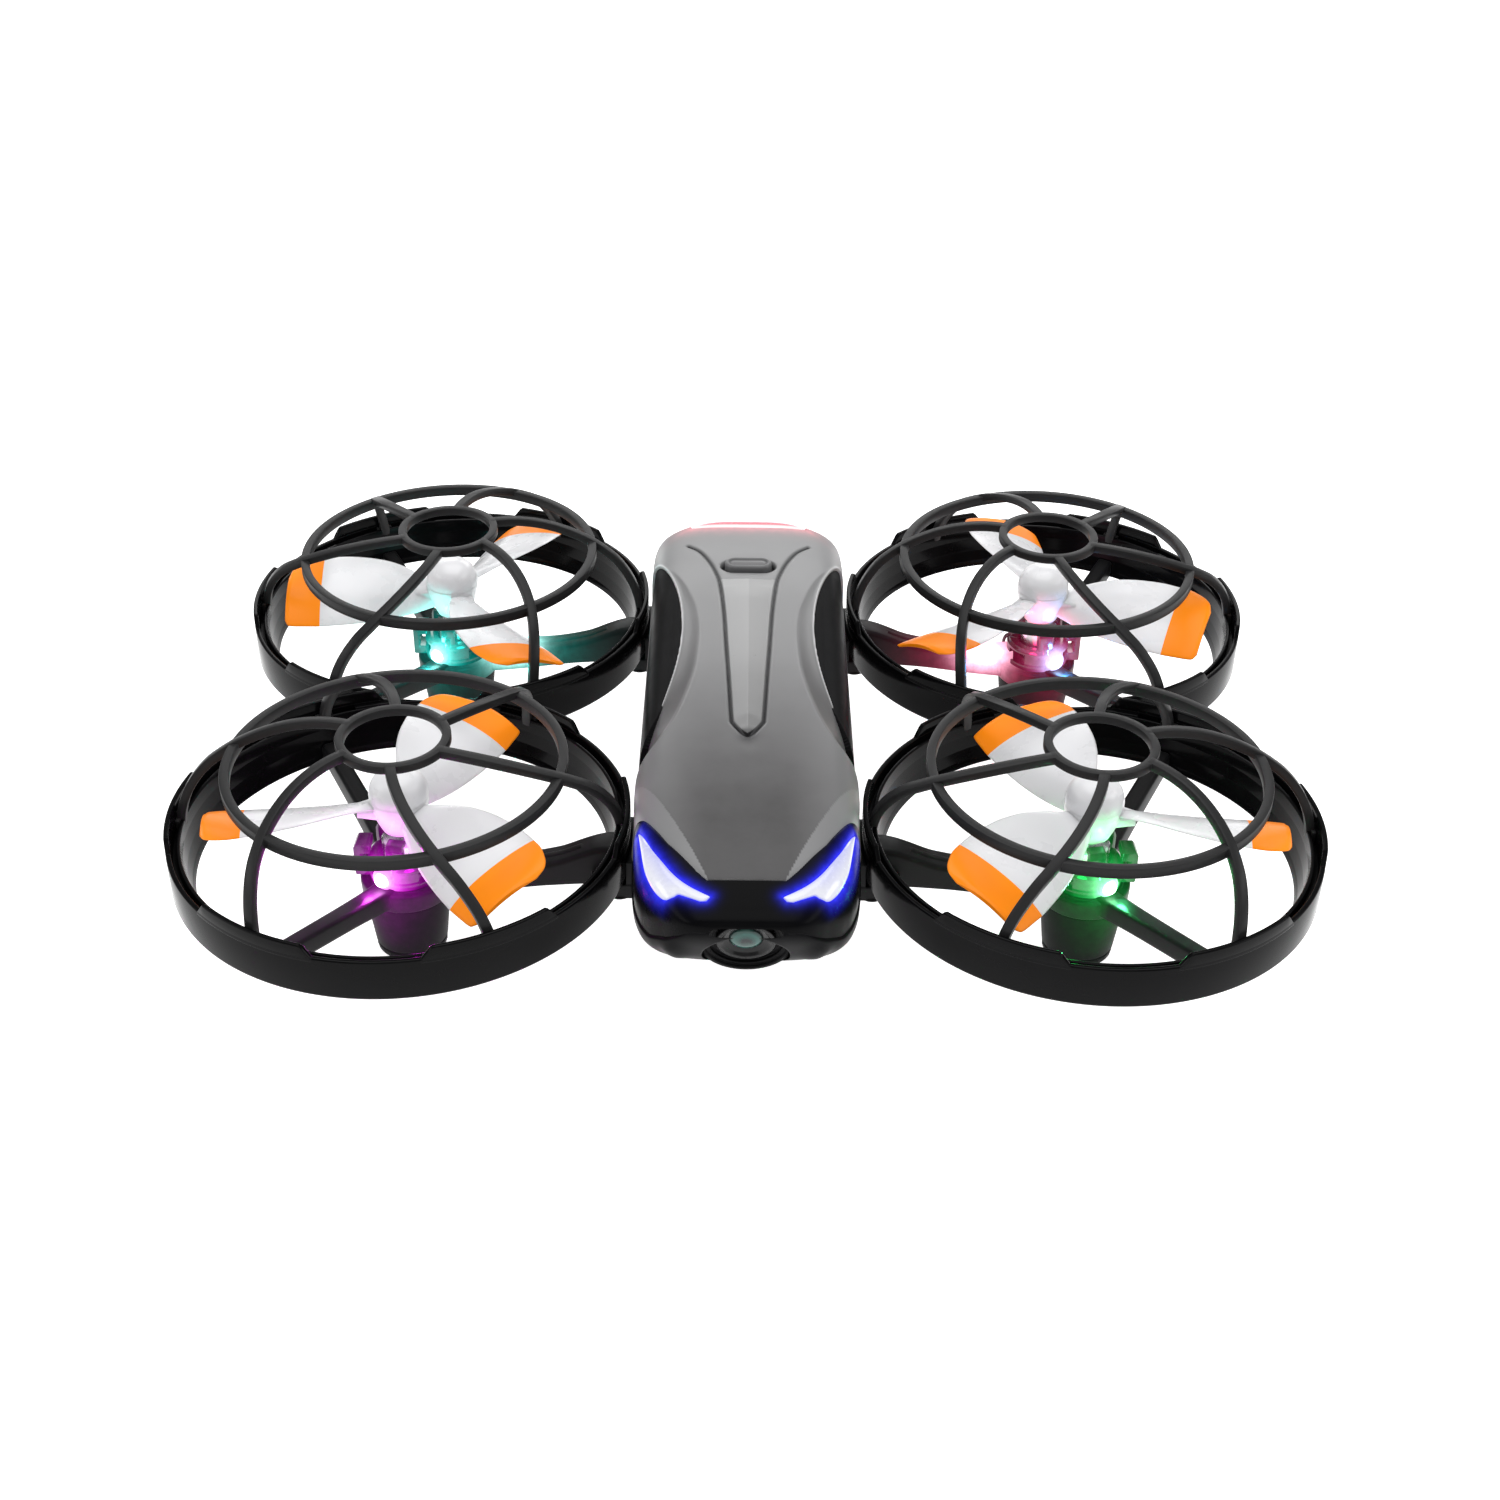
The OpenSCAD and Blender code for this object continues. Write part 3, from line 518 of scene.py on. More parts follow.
def duct_mesh():
    m = Mesh()
    sec = [[41.2, 11.5], [41.9, 13], [42.6, 15.5], [43.1, 18.4], [43.2, 21.4], [44, 21.4], [44, 19], [45, 19], [45, 22],
           [46.1, 22], [46.1, 13.4], [45, 12.4], [44.9, 16.5], [43.9, 16.5], [43, 14], [42.2, 11.5]]
    rad = [0.3, 1.5, 2, 1, 0.25, 0.25, 0.15, 0.15, 0.25, 0.35, 0.8, 0.4, 0.2, 0.2, 0.3, 0.3]
    v, f = lathe(fillet(sec, rad, 3), 288)
    m.add(v, f)
    # tabs with sloped ends
    for k in range(6):
        a = np.linspace(-17.4, 17.4, 49)
        h = 2.6 * np.clip((17.4 - np.abs(a)) / 2.6, 0, 1)
        rings = []
        for t, hh in zip(a + 60 * k, h):
            sec = fillet([[45.05, 21.2], [46.08, 21.2], [46.08, 21.9 + hh], [45.05, 21.9 + hh]], [0.05, 0.05, 0.3, 0.3], 3)
            ct, st = math.cos(math.radians(t)), math.sin(math.radians(t))
            rings.append(np.column_stack([sec[:, 0] * ct, sec[:, 0] * st, sec[:, 1]]))
        n = len(rings[0])
        f = [tuple(q) for q in grid_faces(len(rings), n, close_v=True)]
        f += [tuple(range(n)), tuple(range((len(rings) - 1) * n, len(rings) * n))]
        m.add(np.vstack(rings), f)
    # bosses for the arm's screws, and the web where two ducts meet
    v, f = lathe(fillet([[42.1, 12.4], [42.4, 11.62], [44.8, 11.62], [45.5, 13.6], [45.5, 17], [43.2, 17]], 0.15, 2), 24, -14, 14)
    m.add(v, f)
    v, f = lathe(fillet([[42.1, 12.4], [42.4, 11.62], [44.8, 11.62], [45.5, 13.6], [45.5, 21.88], [43.5, 21.88], [43.3, 17]], 0.15, 2), 60, 69, 111)
    m.add(v, f)
    # short ribs inside the outer wall's hollow
    for k in range(24):
        a = 15 * k + 7.5
        if 60 < a < 120 or a > 340 or a < 20:
            continue
        v, f = prism([[43.4, -0.4], [45.2, -0.4], [45.2, 0.4], [43.4, 0.4]], 13.2, 17, 0.1, 2)
        m.add(rot_z(v, a), f)
    V = m.verts()
    V[:, 1] = np.minimum(V[:, 1], DY - 0.03)
    m.v = [V]
    return m


def dome_z(r):
    return 41.6 - 5.6 * np.maximum(0, (r - 11.35) / (34 - 11.35)) ** 2


def cage_mesh():
    m = Mesh()
    v, f = lathe(fillet([[9.55, 39.8], [11.35, 39.8], [11.35, 41.58], [9.55, 41.58]], 0.18, 2), 128)
    m.add(v, f)
    v, f = lathe(fillet([[32.1, 33.7], [34, 33.7], [34, 35.98], [32.1, 35.98]], 0.2, 2), 240)
    m.add(v, f)
    R = np.linspace(10.3, 34, 16)
    outer = [[r, float(dome_z(r))] for r in R] + [[36.2, 34.7], [38.7, 33], [41, 30.6], [42.9, 27.7], [44.2, 24.5], [44.85, 21.4], [44.95, 19.2]]
    line = smooth_line(outer, 72)
    t = np.gradient(line, axis=0)
    t /= np.linalg.norm(t, axis=1)[:, None]
    nrm = np.column_stack([-t[:, 1], t[:, 0]])
    nrm *= np.sign(nrm[:, 0] + nrm[:, 1] + 1e-9)[:, None]
    mid = line - nrm * 0.9
    rr = np.minimum(mid[:, 0], 44)
    lag = np.where(mid[:, 0] >= 44, 0, -24.5 * ((44 - rr) / (44 - 11.35)) ** 0.875)
    for k in range(6):
        a = np.radians(60 * k + lag)
        P = np.column_stack([mid[:, 0] * np.cos(a), mid[:, 0] * np.sin(a), mid[:, 1]])
        U = np.column_stack([nrm[:, 0] * np.cos(a), nrm[:, 0] * np.sin(a), nrm[:, 1]])
        v, f = sweep(P, U, rrect(2.1, 1.78, 0.2, 2))
        m.add(v, f)
        # a small foot where the rib clips in behind the tab
        w = fillet([[42.6, -1.6], [44.0, -1.9], [44.95, -1.9], [44.95, 1.9], [44.0, 1.9], [42.6, 1.6]], 0.3, 2)
        w = np.column_stack([np.clip(w[:, 0], 44.05, 44.95), w[:, 1]])
        v, f = prism(fillet([[44.08, -1.9], [44.95, -1.9], [44.95, 1.9], [44.08, 1.9]], 0.2, 2), 19.1, 21.6, 0.15, 2)
        m.add(rot_z(v, 60 * k), f)
    return m


def propeller_mesh(turn):
    m = Mesh()
    lead = [[3, 2.6], [6, 4.4], [10, 7], [15, 9.6], [21, 11.4], [27, 12.2], [32, 12.1], [36, 10.8], [37.8, 9.2], [38.6, 7.4]]
    trail = [[3, 2.6], [6, 3.8], [10, 5.2], [15, 6.6], [21, 7.8], [27, 8.6], [32, 9], [36, 9], [37.8, 8.8], [38.6, 8]]
    pitch = [[3, 38], [10, 32], [20, 25], [30, 20.5], [38.6, 18]]
    rs = np.concatenate([np.linspace(3, 30.6, 40), np.linspace(30.6, 36, 12)[1:], 36 + 2.6 * np.sin(np.linspace(0, math.pi / 2, 10))[1:]])
    u = -np.cos(np.linspace(0, math.pi, 23))
    for a in (60, 180, 300):
        rings = []
        for r in rs:
            tipf = 1 - 0.10 * max(0, (r - 37.6) / 1.0) ** 2
            c = np.where(u < 0, u * pch(r, trail), u * pch(r, lead)) * tipf
            p = math.radians(float(pch(r, pitch)))
            th = (0.24 * np.sqrt(np.maximum(0, 1 - u**4)) + (0.62 - r * 0.008) * (1 - u * u)) * (1.0 if r < 38 else 0.75)
            h0 = 1.1 * (1 - u * u)
            ring = []
            for side, order in ((-1, slice(None)), (1, slice(None, None, -1))):
                h = (h0 + side * th)[order]
                cc = c[order]
                pts = np.column_stack([np.full(len(cc), r), cc * math.cos(p) - h * math.sin(p), 24.0 + cc * math.sin(p) + h * math.cos(p)])
                ring.append(pts if side < 0 else pts[1:-1])
            rings.append(np.vstack(ring))
        n = len(rings[0])
        q = grid_faces(len(rings), n, close_v=True, flip=True)
        band = (q.min(1) // n) >= 39
        f = [tuple(x) for x in q] + [tuple(range(n)), tuple(range(len(rings) * n - 1, (len(rings) - 1) * n - 1, -1))]
        m.add(rot_z(np.vstack(rings), a), f, list(band.astype(int)) + [0, 1])
        # collar at the blade's root
        P = np.array([[r, 0, 24.4] for r in np.linspace(3.2, 8.5, 8)])
        prof = [fillet([[-2.6 + 0.12 * i, -1.9 + 0.13 * i], [2.6 - 0.12 * i, -1.1 + 0.08 * i], [2.6 - 0.12 * i, 2.0 - 0.13 * i], [-2.6 + 0.12 * i, 1.1 - 0.08 * i]], 0.7, 3) for i in range(8)]
        v, f = sweep(P, np.tile([0, 0, 1.0], (8, 1)), prof)
        m.add(rot_z(v, a), f)
    egg = smooth_line([[0.56, 19.32], [3.3, 19.34], [4.2, 20.6], [5, 22.6], [5.6, 24.6], [5.95, 26.6], [5.93, 28.4], [5.55, 30], [4.75, 31.4], [3.4, 32.4], [1.8, 32.95], [0, 33.08]], 60)
    egg[:, 0] = np.clip(egg[:, 0], 0, 5.95)
    v, f = lathe(np.vstack([egg, [[0, 30.0]], [[0.56, 30.0]]]), 64)
    m.add(v, f)
    # parting ring on the hub
    v, f = lathe(fillet([[5.0, 26.9], [5.94, 27.0], [5.94, 27.25], [5.0, 27.35]], 0.04, 1), 64)
    m.add(v, f)
    V = rot_z(m.verts(), turn)
    m.v = [V]
    return m


LA = math.radians(-118)
LED = np.array([8.6 * math.cos(LA), 8.6 * math.sin(LA), 11.2])


# painted light round a lamp: a wide glow and a bright core, fading with distance from cen
def glow_at(v, cen, core, reach):
    d = np.linalg.norm(np.asarray(v) - cen, axis=1)
    return np.clip(np.exp(-((d / reach) ** 1.6)) * 1.0, 0, 1), np.clip(np.exp(-((d / core) ** 2)), 0, 1)


def finger(a, w=3.4):
    out = fillet([[4.36, 8.6], [6.3, 8.6], [6.3, 17.3], [5.6, 18.65], [3.25, 18.65], [3.25, 17.75], [4.36, 17.75]], [0.2, 0.2, 0.8, 0.5, 0.2, 0.1, 0.1], 3)
    n = len(out)
    hw = w / 2
    ys = [(-hw, 0.22), (-hw + 0.07, 0.1), (-hw + 0.22, 0.0), (hw - 0.22, 0.0), (hw - 0.07, 0.1), (hw, 0.22)]
    cen = out.mean(0)
    rings = []
    for y, s in ys:
        q = cen + (out - cen) * (1 - s * 0.12)
        rings.append(np.column_stack([q[:, 0], np.full(n, y), q[:, 1]]))
    v = np.vstack(rings)
    f = [tuple(q) for q in grid_faces(len(rings), n, close_v=True)]
    f += [tuple(range(n)), tuple(range((len(rings) - 1) * n, len(rings) * n))]
    return rot_z(v, a), f


def pod_mesh():
    m = Mesh()
    parts = []
    # cup wall in three bays, open at the windows, and the full bands under and over them
    parts.append(lathe(fillet([[4.38, 8.52], [7.3, 8.52], [7.3, 9.8], [4.38, 9.8]], [0.1, 0.25, 0.05, 0.05], 3), 120))
    parts.append(lathe(fillet([[4.38, 12.6], [7.3, 12.6], [7.3, 13.2], [6.7, 13.8], [4.9, 13.8], [4.38, 13.4]], [0.05, 0.1, 0.4, 0.4, 0.3, 0.1], 3), 120))
    for a in (20, 140, 260):
        parts.append(lathe(fillet([[4.38, 9.7], [7.26, 9.7], [7.26, 12.7], [4.38, 12.7]], 0.05, 2), 40, a - 40, a + 40))
    for a in (20, 140, 260):
        parts.append(finger(a))
        # gusset behind each finger
        v, f = prism(fillet([[6.0, -0.6], [7.2, -0.6], [7.2, 0.6], [6.0, 0.6]], 0.2, 2), 13.0, 15.4, 0.3, 2)
        parts.append((rot_z(v, a), f))
    # outboard clip
    out = fillet([[-9.9, 9.1], [-6.6, 9.1], [-6.6, 11.1], [-8.6, 11.1], [-8.6, 14.3], [-6.6, 14.3], [-6.6, 16.3], [-9.3, 16.3], [-9.9, 15.6]],
                 [0.3, 0.1, 0.1, 0.3, 0.3, 0.1, 0.2, 0.3, 0.3], 3)
    P = np.array([[0, y, 0] for y in (-2.3, -2.15, 2.15, 2.3)])
    rings = [np.column_stack([out[:, 0] + (0.06 if abs(p[1]) > 2.2 else 0), np.full(len(out), p[1]), out[:, 1]]) for p in P]
    n = len(out)
    f = [tuple(q) for q in grid_faces(4, n, close_v=True)] + [tuple(range(n)), tuple(range(3 * n, 4 * n))]
    parts.append((np.vstack(rings), f))
    # boss round the lamp
    v, f = lathe(fillet([[1.52, 0.2], [2.4, 0.2], [2.3, 2.9], [1.9, 3.3], [1.52, 3.1]], [0.05, 0.05, 0.2, 0.2, 0.1], 3), 48)
    q = np.column_stack([v[:, 2] + 4.9, v[:, 0], v[:, 1]])
    parts.append((rot_z(q + [0, 0, 0], math.degrees(LA)) + [0, 0, 11.2], f))
    # lead-in wires beside the boss
    for s in (-1, 1):
        P = smooth_line([[5.2, 2.2 * s, 13.6], [6.9, 2.7 * s, 13.2], [7.55, 3.0 * s, 11.6], [7.3, 2.9 * s, 9.6], [6.6, 2.4 * s, 8.7]], 24)
        ring = np.array([[0.42 * math.cos(t), 0.42 * math.sin(t)] for t in np.linspace(0, 2 * math.pi, 12, endpoint=False)])
        v, f = sweep(P, np.tile([0, 0.1, 1.0], (len(P), 1)), ring)
        parts.append((rot_z(v, 100 if s > 0 else 40), f))
    for v, f in parts:
        v = np.asarray(v)
        # painted light: glow, hot core and halo of the LED on the cup, fading with distance from it
        g, h = glow_at(v, LED, 2.5, 7.5)
        w = np.exp(-((np.linalg.norm(v - LED, axis=1) / 4.2) ** 2))
        m.add(v, f, 0, glow=g, hot=h * 0.6, halo=w * 0.8)
    return m


def lens_mesh():
    m = Mesh()
    prof = [[0, 0], [1.45, 0], [1.45, 3.2]] + [[1.45 * math.cos(math.radians(t)), 3.2 + 1.1 * math.sin(math.radians(t))] for t in range(10, 90, 10)] + [[0, 4.3]]
    v, f = lathe(np.array(prof), 48, closed=False)
    q = np.column_stack([v[:, 2] + 4.9, v[:, 0], v[:, 1]])
    m.add(rot_z(q, math.degrees(LA)) + [0, 0, 11.2], f, 0, core=np.clip((v[:, 2] - 2.4) / 1.4, 0, 1))
    return m


def arm_mesh(rear=False):
    m = Mesh()

    def put(v, f):
        v = np.asarray(v)
        # painted light: on the rear arms a hot spot and a wider pool where the LED's beam falls, and on every arm a
        # glow near the LED
        spot = np.linalg.norm((v - [13.0, 1.2, 11.2]) * [0.7, 0.8, 1], axis=1)
        beam = dict(hot=np.exp(-((spot / 3.7) ** 2)), side=0.9 * np.exp(-((spot / 9.0) ** 2))) if rear else dict(hot=0.0, side=0.0)
        g, _ = glow_at(v, LED * [1, 1, 1] + [1.5, 1.5, -1.0], 2, 8.5)
        m.add(v, f, 0, glow=g * 0.8 * np.clip((11.5 - np.hypot(v[:, 0], v[:, 1])) / 2.0, 0.12, 1), **beam)

    put(*lathe(fillet([[4.4, 4.52], [9.15, 4.52], [9.3, 7.2], [9.28, 8.48], [4.4, 8.48]], [0.1, 0.12, 0.5, 0.45, 0.1], 3), 128))
    put(*lathe(fillet([[4.4, 8.4], [8.0, 8.4], [7.75, 8.62], [7.5, 8.62], [7.45, 8.5], [4.4, 8.5]], 0.05, 2), 128))
    # thick arm towards the body
    xs = np.linspace(6, 46.6, 60)
    lo = pch(xs, [[6, 4.6], [14, 5.4], [30, 7.4], [41.5, 8.02], [50, 8.02]])
    hi = pch(xs, [[6, 11.4], [12, 11.2], [22, 11.6], [31, 13.2], [37, 15.6], [41, 17], [50, 17]])
    keep = (xs < 41.6)
    hi = np.where(xs > 41.6, 11.4, hi)
    prof = []
    for x, a, b in zip(xs, lo, hi):
        hw = 3.4
        prof.append(fillet([[-hw, a], [hw, a], [hw * 0.94, b], [-hw * 0.94, b]], [0.5, 0.5, 1.1, 1.1], 4))
    P = np.column_stack([xs, np.zeros(60), np.zeros(60)])
    k1 = keep.sum()
    v, f = sweep(P[:k1], np.tile([0, 0, 1.0], (k1, 1)), prof[:k1])
    # hug the duct's inner wall
    wall = pch(v[:, 2], [[4, 41.2], [11.5, 41.2], [13, 41.9], [15.5, 42.6], [18.4, 43.1]])
    r = np.hypot(v[:, 0], v[:, 1])
    lim = v[:, 0] > 38
    stretch = np.where(lim, 1 + (np.sqrt(np.maximum(wall**2 - v[:, 1] ** 2, 1)) / 41.0 - 1) * (v[:, 0] - 38) / 3.2, 1)
    v[:, 0] *= np.clip(stretch, 0.98, 1.04)
    put(v, f)
    # raised line along the top of the arm
    xr = np.linspace(10, 36, 30)
    zr = pch(xr, [[6, 11.4], [12, 11.2], [22, 11.6], [31, 13.2], [37, 15.6]])
    v, f = sweep(np.column_stack([xr, xr * 0, zr]), np.tile([0, 0, 1.0], (30, 1)), rrect(1.3, 0.5, 0.18, 2))
    put(v, f)
    # bracket under the rim and up beside the body
    out = [[38.2, -7.6], [39.4, -8.2], [47.18, -8.2], [47.18, 8.2], [39.4, 8.2], [38.2, 7.6]]
    put(*prism(fillet(out, 0.5, 3), 8.02, 11.45, 0.35, 3))
    arcp = [[46.12 * math.cos(t), 46.12 * math.sin(t)] for t in np.radians(np.linspace(-10, 10, 13))]
    put(*prism(np.array(arcp + [[47.18, 7.9], [47.18, -7.9]]), 8.3, 16.95, 0.25, 3))
    # struts
    for a in (120, -120):
        L = np.linspace(0, 1, 40)
        x = 6.3 + 36.2 * L
        z = 6.7 + 36.2 * L * math.tan(math.radians(10.5)) * 1.0
        w = 2.55 - 0.35 * L + 0.9 * (1 - L) ** 6
        prof = [fillet([[-q, -2.0], [q, -2.0], [q * 0.8, 2.1], [-q * 0.8, 2.1]], 0.85, 4) for q in w]
        v, f = sweep(np.column_stack([x, x * 0, z]), np.tile([0, 0, 1.0], (40, 1)), prof)
        wall = pch(v[:, 2], [[4, 41.2], [11.5, 41.2], [13, 41.9], [15.5, 42.6], [18.4, 43.1]])
        v[:, 0] = np.where(v[:, 0] > 40, np.minimum(v[:, 0], wall + 0.25), v[:, 0])
        put(rot_z(v, a), f)
    # screws heads' recess rings on the bracket's underside
    for s in (-1, 1):
        v, f = lathe(fillet([[1.75, 7.95 + 0.09], [2.5, 8.0 + 0.04], [2.5, 8.5], [1.75, 8.5]], 0.05, 1), 40)
        put(v + [44, 6 * s, 0], f)
    return m


def foot_mesh():
    m = Mesh()
    b = -LIFT
    v, f = lathe(fillet([[1.2, b + 0.25], [1.5, b + 0.02], [6.3, b + 0.02], [7.15, b + 0.8], [7.3, b + 2.1], [7.12, b + 2.25], [7.14, b + 2.6], [7.42, b + 2.75],
                         [8.76, 4.1], [8.62, 4.2], [8.62, 4.48], [4.36, 4.48], [4.36, -2.35], [1.2, -2.35]],
                        [0.05, 0.15, 0.5, 0.5, 0.1, 0.1, 0.1, 0.1, 0.1, 0.05, 0.05, 0.05, 0.05, 0.05], 3), 128)
    # painted light: glow of the LED on the foot's collar
    m.add(v, f, 0, glow=glow_at(v, LED + [0, 0, -5.0], 2, 6.5)[0])
    v, f = lathe(np.array([[0, b + 0.45], [1.25, b + 0.45], [1.25, -2.4], [0, -2.4]]), 48)
    m.add(v, f)
    # grip ribs round the tip
    for k in range(24):
        v, f = prism(fillet([[6.9, -0.26], [7.24, -0.26], [7.24, 0.26], [6.9, 0.26]], 0.08, 2), b + 1.0, b + 2.0, 0.1, 2)
        m.add(rot_z(v, 15 * k), f)
    return m


DUCT, CAGE, POD, LENSM, ARM, FOOT = duct_mesh(), cage_mesh(), pod_mesh(), lens_mesh(), {False: arm_mesh(), True: arm_mesh(True)}, foot_mesh()
for c, (sx, sy) in CORNERS.items():
    dp, pp = duct_place(c), pod_place(c)
    build("duct_shell_" + c, DUCT, [M_DUCT], "airframe", ["duct_" + c], place=dp)
    build("cage_bars_" + c, CAGE, [M_CAGE], "airframe", ["cage_" + c], place=dp)
    build("arm_beams_" + c, ARM[sy > 0], [M_ARM[c]], "airframe", ["arm_" + c], place=dp)
    build("foot_cap_" + c, FOOT, [M_FOOT[c]], "airframe", ["foot_" + c], place=pp)
    build("pod_cup_" + c, POD, [M_POD[c]], "airframe", ["pod_" + c], place=pp)
    build("lamp_lens_" + c, LENSM, [M_LENS[c]], "airframe", ["light_" + c],
          place=pp, merge=True)
    build("propeller_blades_" + c, propeller_mesh(TURN[c]), [M_WHITE, M_ORANGE], "rotor_" + c, ["propeller_" + c], place=dp, merge=True)
    NODES["motor_" + c].data.materials.clear(); NODES["motor_" + c].data.materials.append(M_STEEL)
    NODES["shaft_" + c].data.materials.clear(); NODES["shaft_" + c].data.materials.append(M_SHAFT)

# ------------------------------------------------------------------ body
HALF = [[-89.2, 0.30], [-88.6, 0.43], [-87, 0.57], [-84, 0.70], [-80.5, 0.82], [-77, 0.90], [-72, 0.955], [-64, 0.985], [-50, 1],
        [0, 1], [40, 1], [50, 0.998], [52, 0.99], [53.2, 0.965], [54.4, 0.915], [56, 0.835], [58.6, 0.695], [60, 0.6]]
TOP = [[-89.2, 30.2], [-88.6, 31.2], [-87, 32.1], [-84, 33.2], [-80, 34.3], [-72, 36], [-60, 37.5], [-40, 39], [-10, 40], [15, 40],
       [35, 39.4], [48, 38.3], [55, 37.6], [58.6, 36.6], [60, 35]]
LOW = [[-89.2, 28], [-88.6, 26.4], [-87, 23.5], [-84, 19], [-80, 15.4], [-76, 13.2], [-70, 11.4], [-60, 10], [-45, 9], [45, 9],
       [52, 9.4], [56, 10.4], [58.6, 12], [60, 14]]
MID = [[-89.2, 29], [-88.6, 28.6], [-87, 26.6], [-84, 24], [-80, 22], [60, 22]]


def surf(y, a):
    """A point of the body's outer face: y along, a round the section in radians from the left side over the top."""
    w, zt, zb, zm = 22.5 * pch(y, HALF), pch(y, TOP), pch(y, LOW), pch(y, MID)
    c, s = np.cos(a), np.sin(a)
    p = np.where(s > 0, 0.5, 0.667)
    x = w * np.sign(c) * np.abs(c) ** p
    z = zm + np.where(s > 0, np.maximum(0.2, zt - zm) * np.abs(s) ** 0.5, -np.maximum(0.2, zm - zb) * np.abs(s) ** 0.667)
    return np.stack([x, y + 0 * x, z], -1)


def top_z(x, y):
    w, zt, zm = 22.5 * pch(y, HALF), pch(y, TOP), pch(y, MID)
    q = np.clip(np.abs(x) / w, 0, 0.9995)
    return zm + (zt - zm) * (1 - q**4) ** 0.25


def even_angles(a0, a1, n, y=0.0):
    """Angles that put section points at even distances."""
    a = np.linspace(a0, a1, 4001)
    p = surf(np.full(4001, y), a)
    s = np.concatenate([[0], np.cumsum(np.linalg.norm(np.diff(p, axis=0), axis=1))])
    return np.interp(np.linspace(0, s[-1], n), s, a)


def body_grid(ys, angs):
    Y, A = np.meshgrid(ys, angs, indexing="ij")
    P = surf(Y, A)
    du = np.gradient(P, axis=0)
    dv = np.gradient(P, axis=1)
    N = np.cross(dv, du)
    N /= np.maximum(np.linalg.norm(N, axis=2), 1e-9)[..., None]
    cen = np.stack([0 * Y, Y, pch(Y, MID)], -1)
    sgn = np.sign(np.sum(N * (P - cen), -1))
    N *= np.where(sgn == 0, 1, sgn)[..., None]
    return P, N, Y, A


def shell_piece(name, P, N, out, thick, mats, replaces, flip=False, attrs=None, sharp=40, cutters=(), body="airframe"):
    """A closed piece from a patch of the body's face: outer face moved by out, inner face thick below it."""
    nu, nv = P.shape[:2]
    fade = np.clip((P[..., 1] + 89.35) / 3.0, 0.05, 1)
    O = P + N * (out * fade)[..., None]
    I = P + N * (np.minimum(out - 0.35, -thick) * fade)[..., None]
    m = Mesh()
    v = np.vstack([O.reshape(-1, 3), I.reshape(-1, 3)])
    q = grid_faces(nu, nv)
    f = [tuple(x) for x in q] + [tuple(x[::-1] + nu * nv) for x in q]
    K = nu * nv
    edge = [(i * nv, (i + 1) * nv) for i in range(nu - 1)] + [((i + 1) * nv + nv - 1, i * nv + nv - 1) for i in range(nu - 1)]
    edge += [(j + 1, j) for j in range(nv - 1)] + [((nu - 1) * nv + j, (nu - 1) * nv + j + 1) for j in range(nv - 1)]
    f += [(a, a + K, b + K, b) for a, b in edge]
    at = {k: np.concatenate([x.reshape(-1), np.zeros(K)]) for k, x in (attrs or {}).items()}
    m.add(v, f, 0, **at)
    ob = build(name, m, mats, body, (), sharp=sharp)
    for cut in cutters:
        b = ob.modifiers.new("cut", "BOOLEAN")
        b.operation, b.solver, b.object = "DIFFERENCE", "EXACT", cut
        bpy.context.view_layer.update()
        dg = bpy.context.evaluated_depsgraph_get()
        me = bpy.data.meshes.new_from_object(ob.evaluated_get(dg), preserve_all_data_layers=True, depsgraph=dg)
        ob.modifiers.clear()
        ob.data = me
        me.set_sharp_from_angle(angle=math.radians(sharp))
    if replaces:
        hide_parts(*replaces)
    return ob


def cres_x(y):
    return 109.8 - np.sqrt(np.maximum(95.0**2 - (y - 6) ** 2, 1))


COVE = [[-43.5, 23.2], [-42.4, 22.2], [-37.4, 17.6], [-29.8, 14.1], [-21, 12.0], [-11.9, 10.7], [-0.5, 10.3], [9, 10.9], [17.5, 12.7], [26, 15.2], [34, 18.8], [40, 22.5]]
COVE_D = [[-44, 0.0], [-42, 1.5], [-36, 2.0], [-20, 2.1], [0, 1.7], [15, 1.1], [26, 0.5], [34, 0.0]]
GROOVE = smooth_line([[-14, 42.6], [-11.1, 38.5], [-8.7, 32.6], [-7.3, 27.5], [-6.3, 22.0], [-5.3, 9.6], [-4.7, -3.3], [-3.9, -20], [-3.3, -32.6], [-2.9, -34.6], [-1.2, -37.4], [0, -38.3]], 60)
HOODCREASE = np.array([[22.9, -45.0], [22.3, -46.5], [16.9, -57.2], [10.7, -71.2], [7.1, -79.6]])
HOODEDGE = np.array([[40, -56.0], [22.6, -57.6], [20.6, -60.6], [15.4, -70.0], [10.6, -76.4], [7.2, -79.9], [-7.2, -79.9], [-10.6, -76.4], [-15.4, -70], [-20.6, -60.6], [-22.6, -57.6], [-40, -56], [-40, 80], [40, 80]])
EYE = np.array([[6.7, -83.3], [7.4, -84.1], [8.6, -84.1], [10.9, -83.0], [12.6, -82.1], [13.6, -82.3], [15.1, -82.3], [16.4, -81.0], [18.0, -78.3], [19.4, -74.2], [20.3, -68.5], [21.1, -62.6],
                [18.2, -69.9], [15.2, -75.3], [13.0, -78.4], [10.4, -80.9]])


def sd(px, py, pts):
    d, ins = poly_dist(px, py, pts, True)
    return np.where(ins, -d, d)


def lerp_y(y, tab):
    t = np.array(tab, float)
    return np.interp(y, t[:, 0], t[:, 1])


def cove_depth(x, y):
    ax = np.abs(x)
    xc = np.where(y > -43, pch(y, COVE), 40)
    xk = np.maximum(cres_x(y), xc + 0.5)
    t = np.clip((ax - xc) / (xk - xc), 0, 1)
    return np.where((y > -44) & (y < 36), pch(y, COVE_D) * (1 - (1 - t) ** 2.2), 0.0)


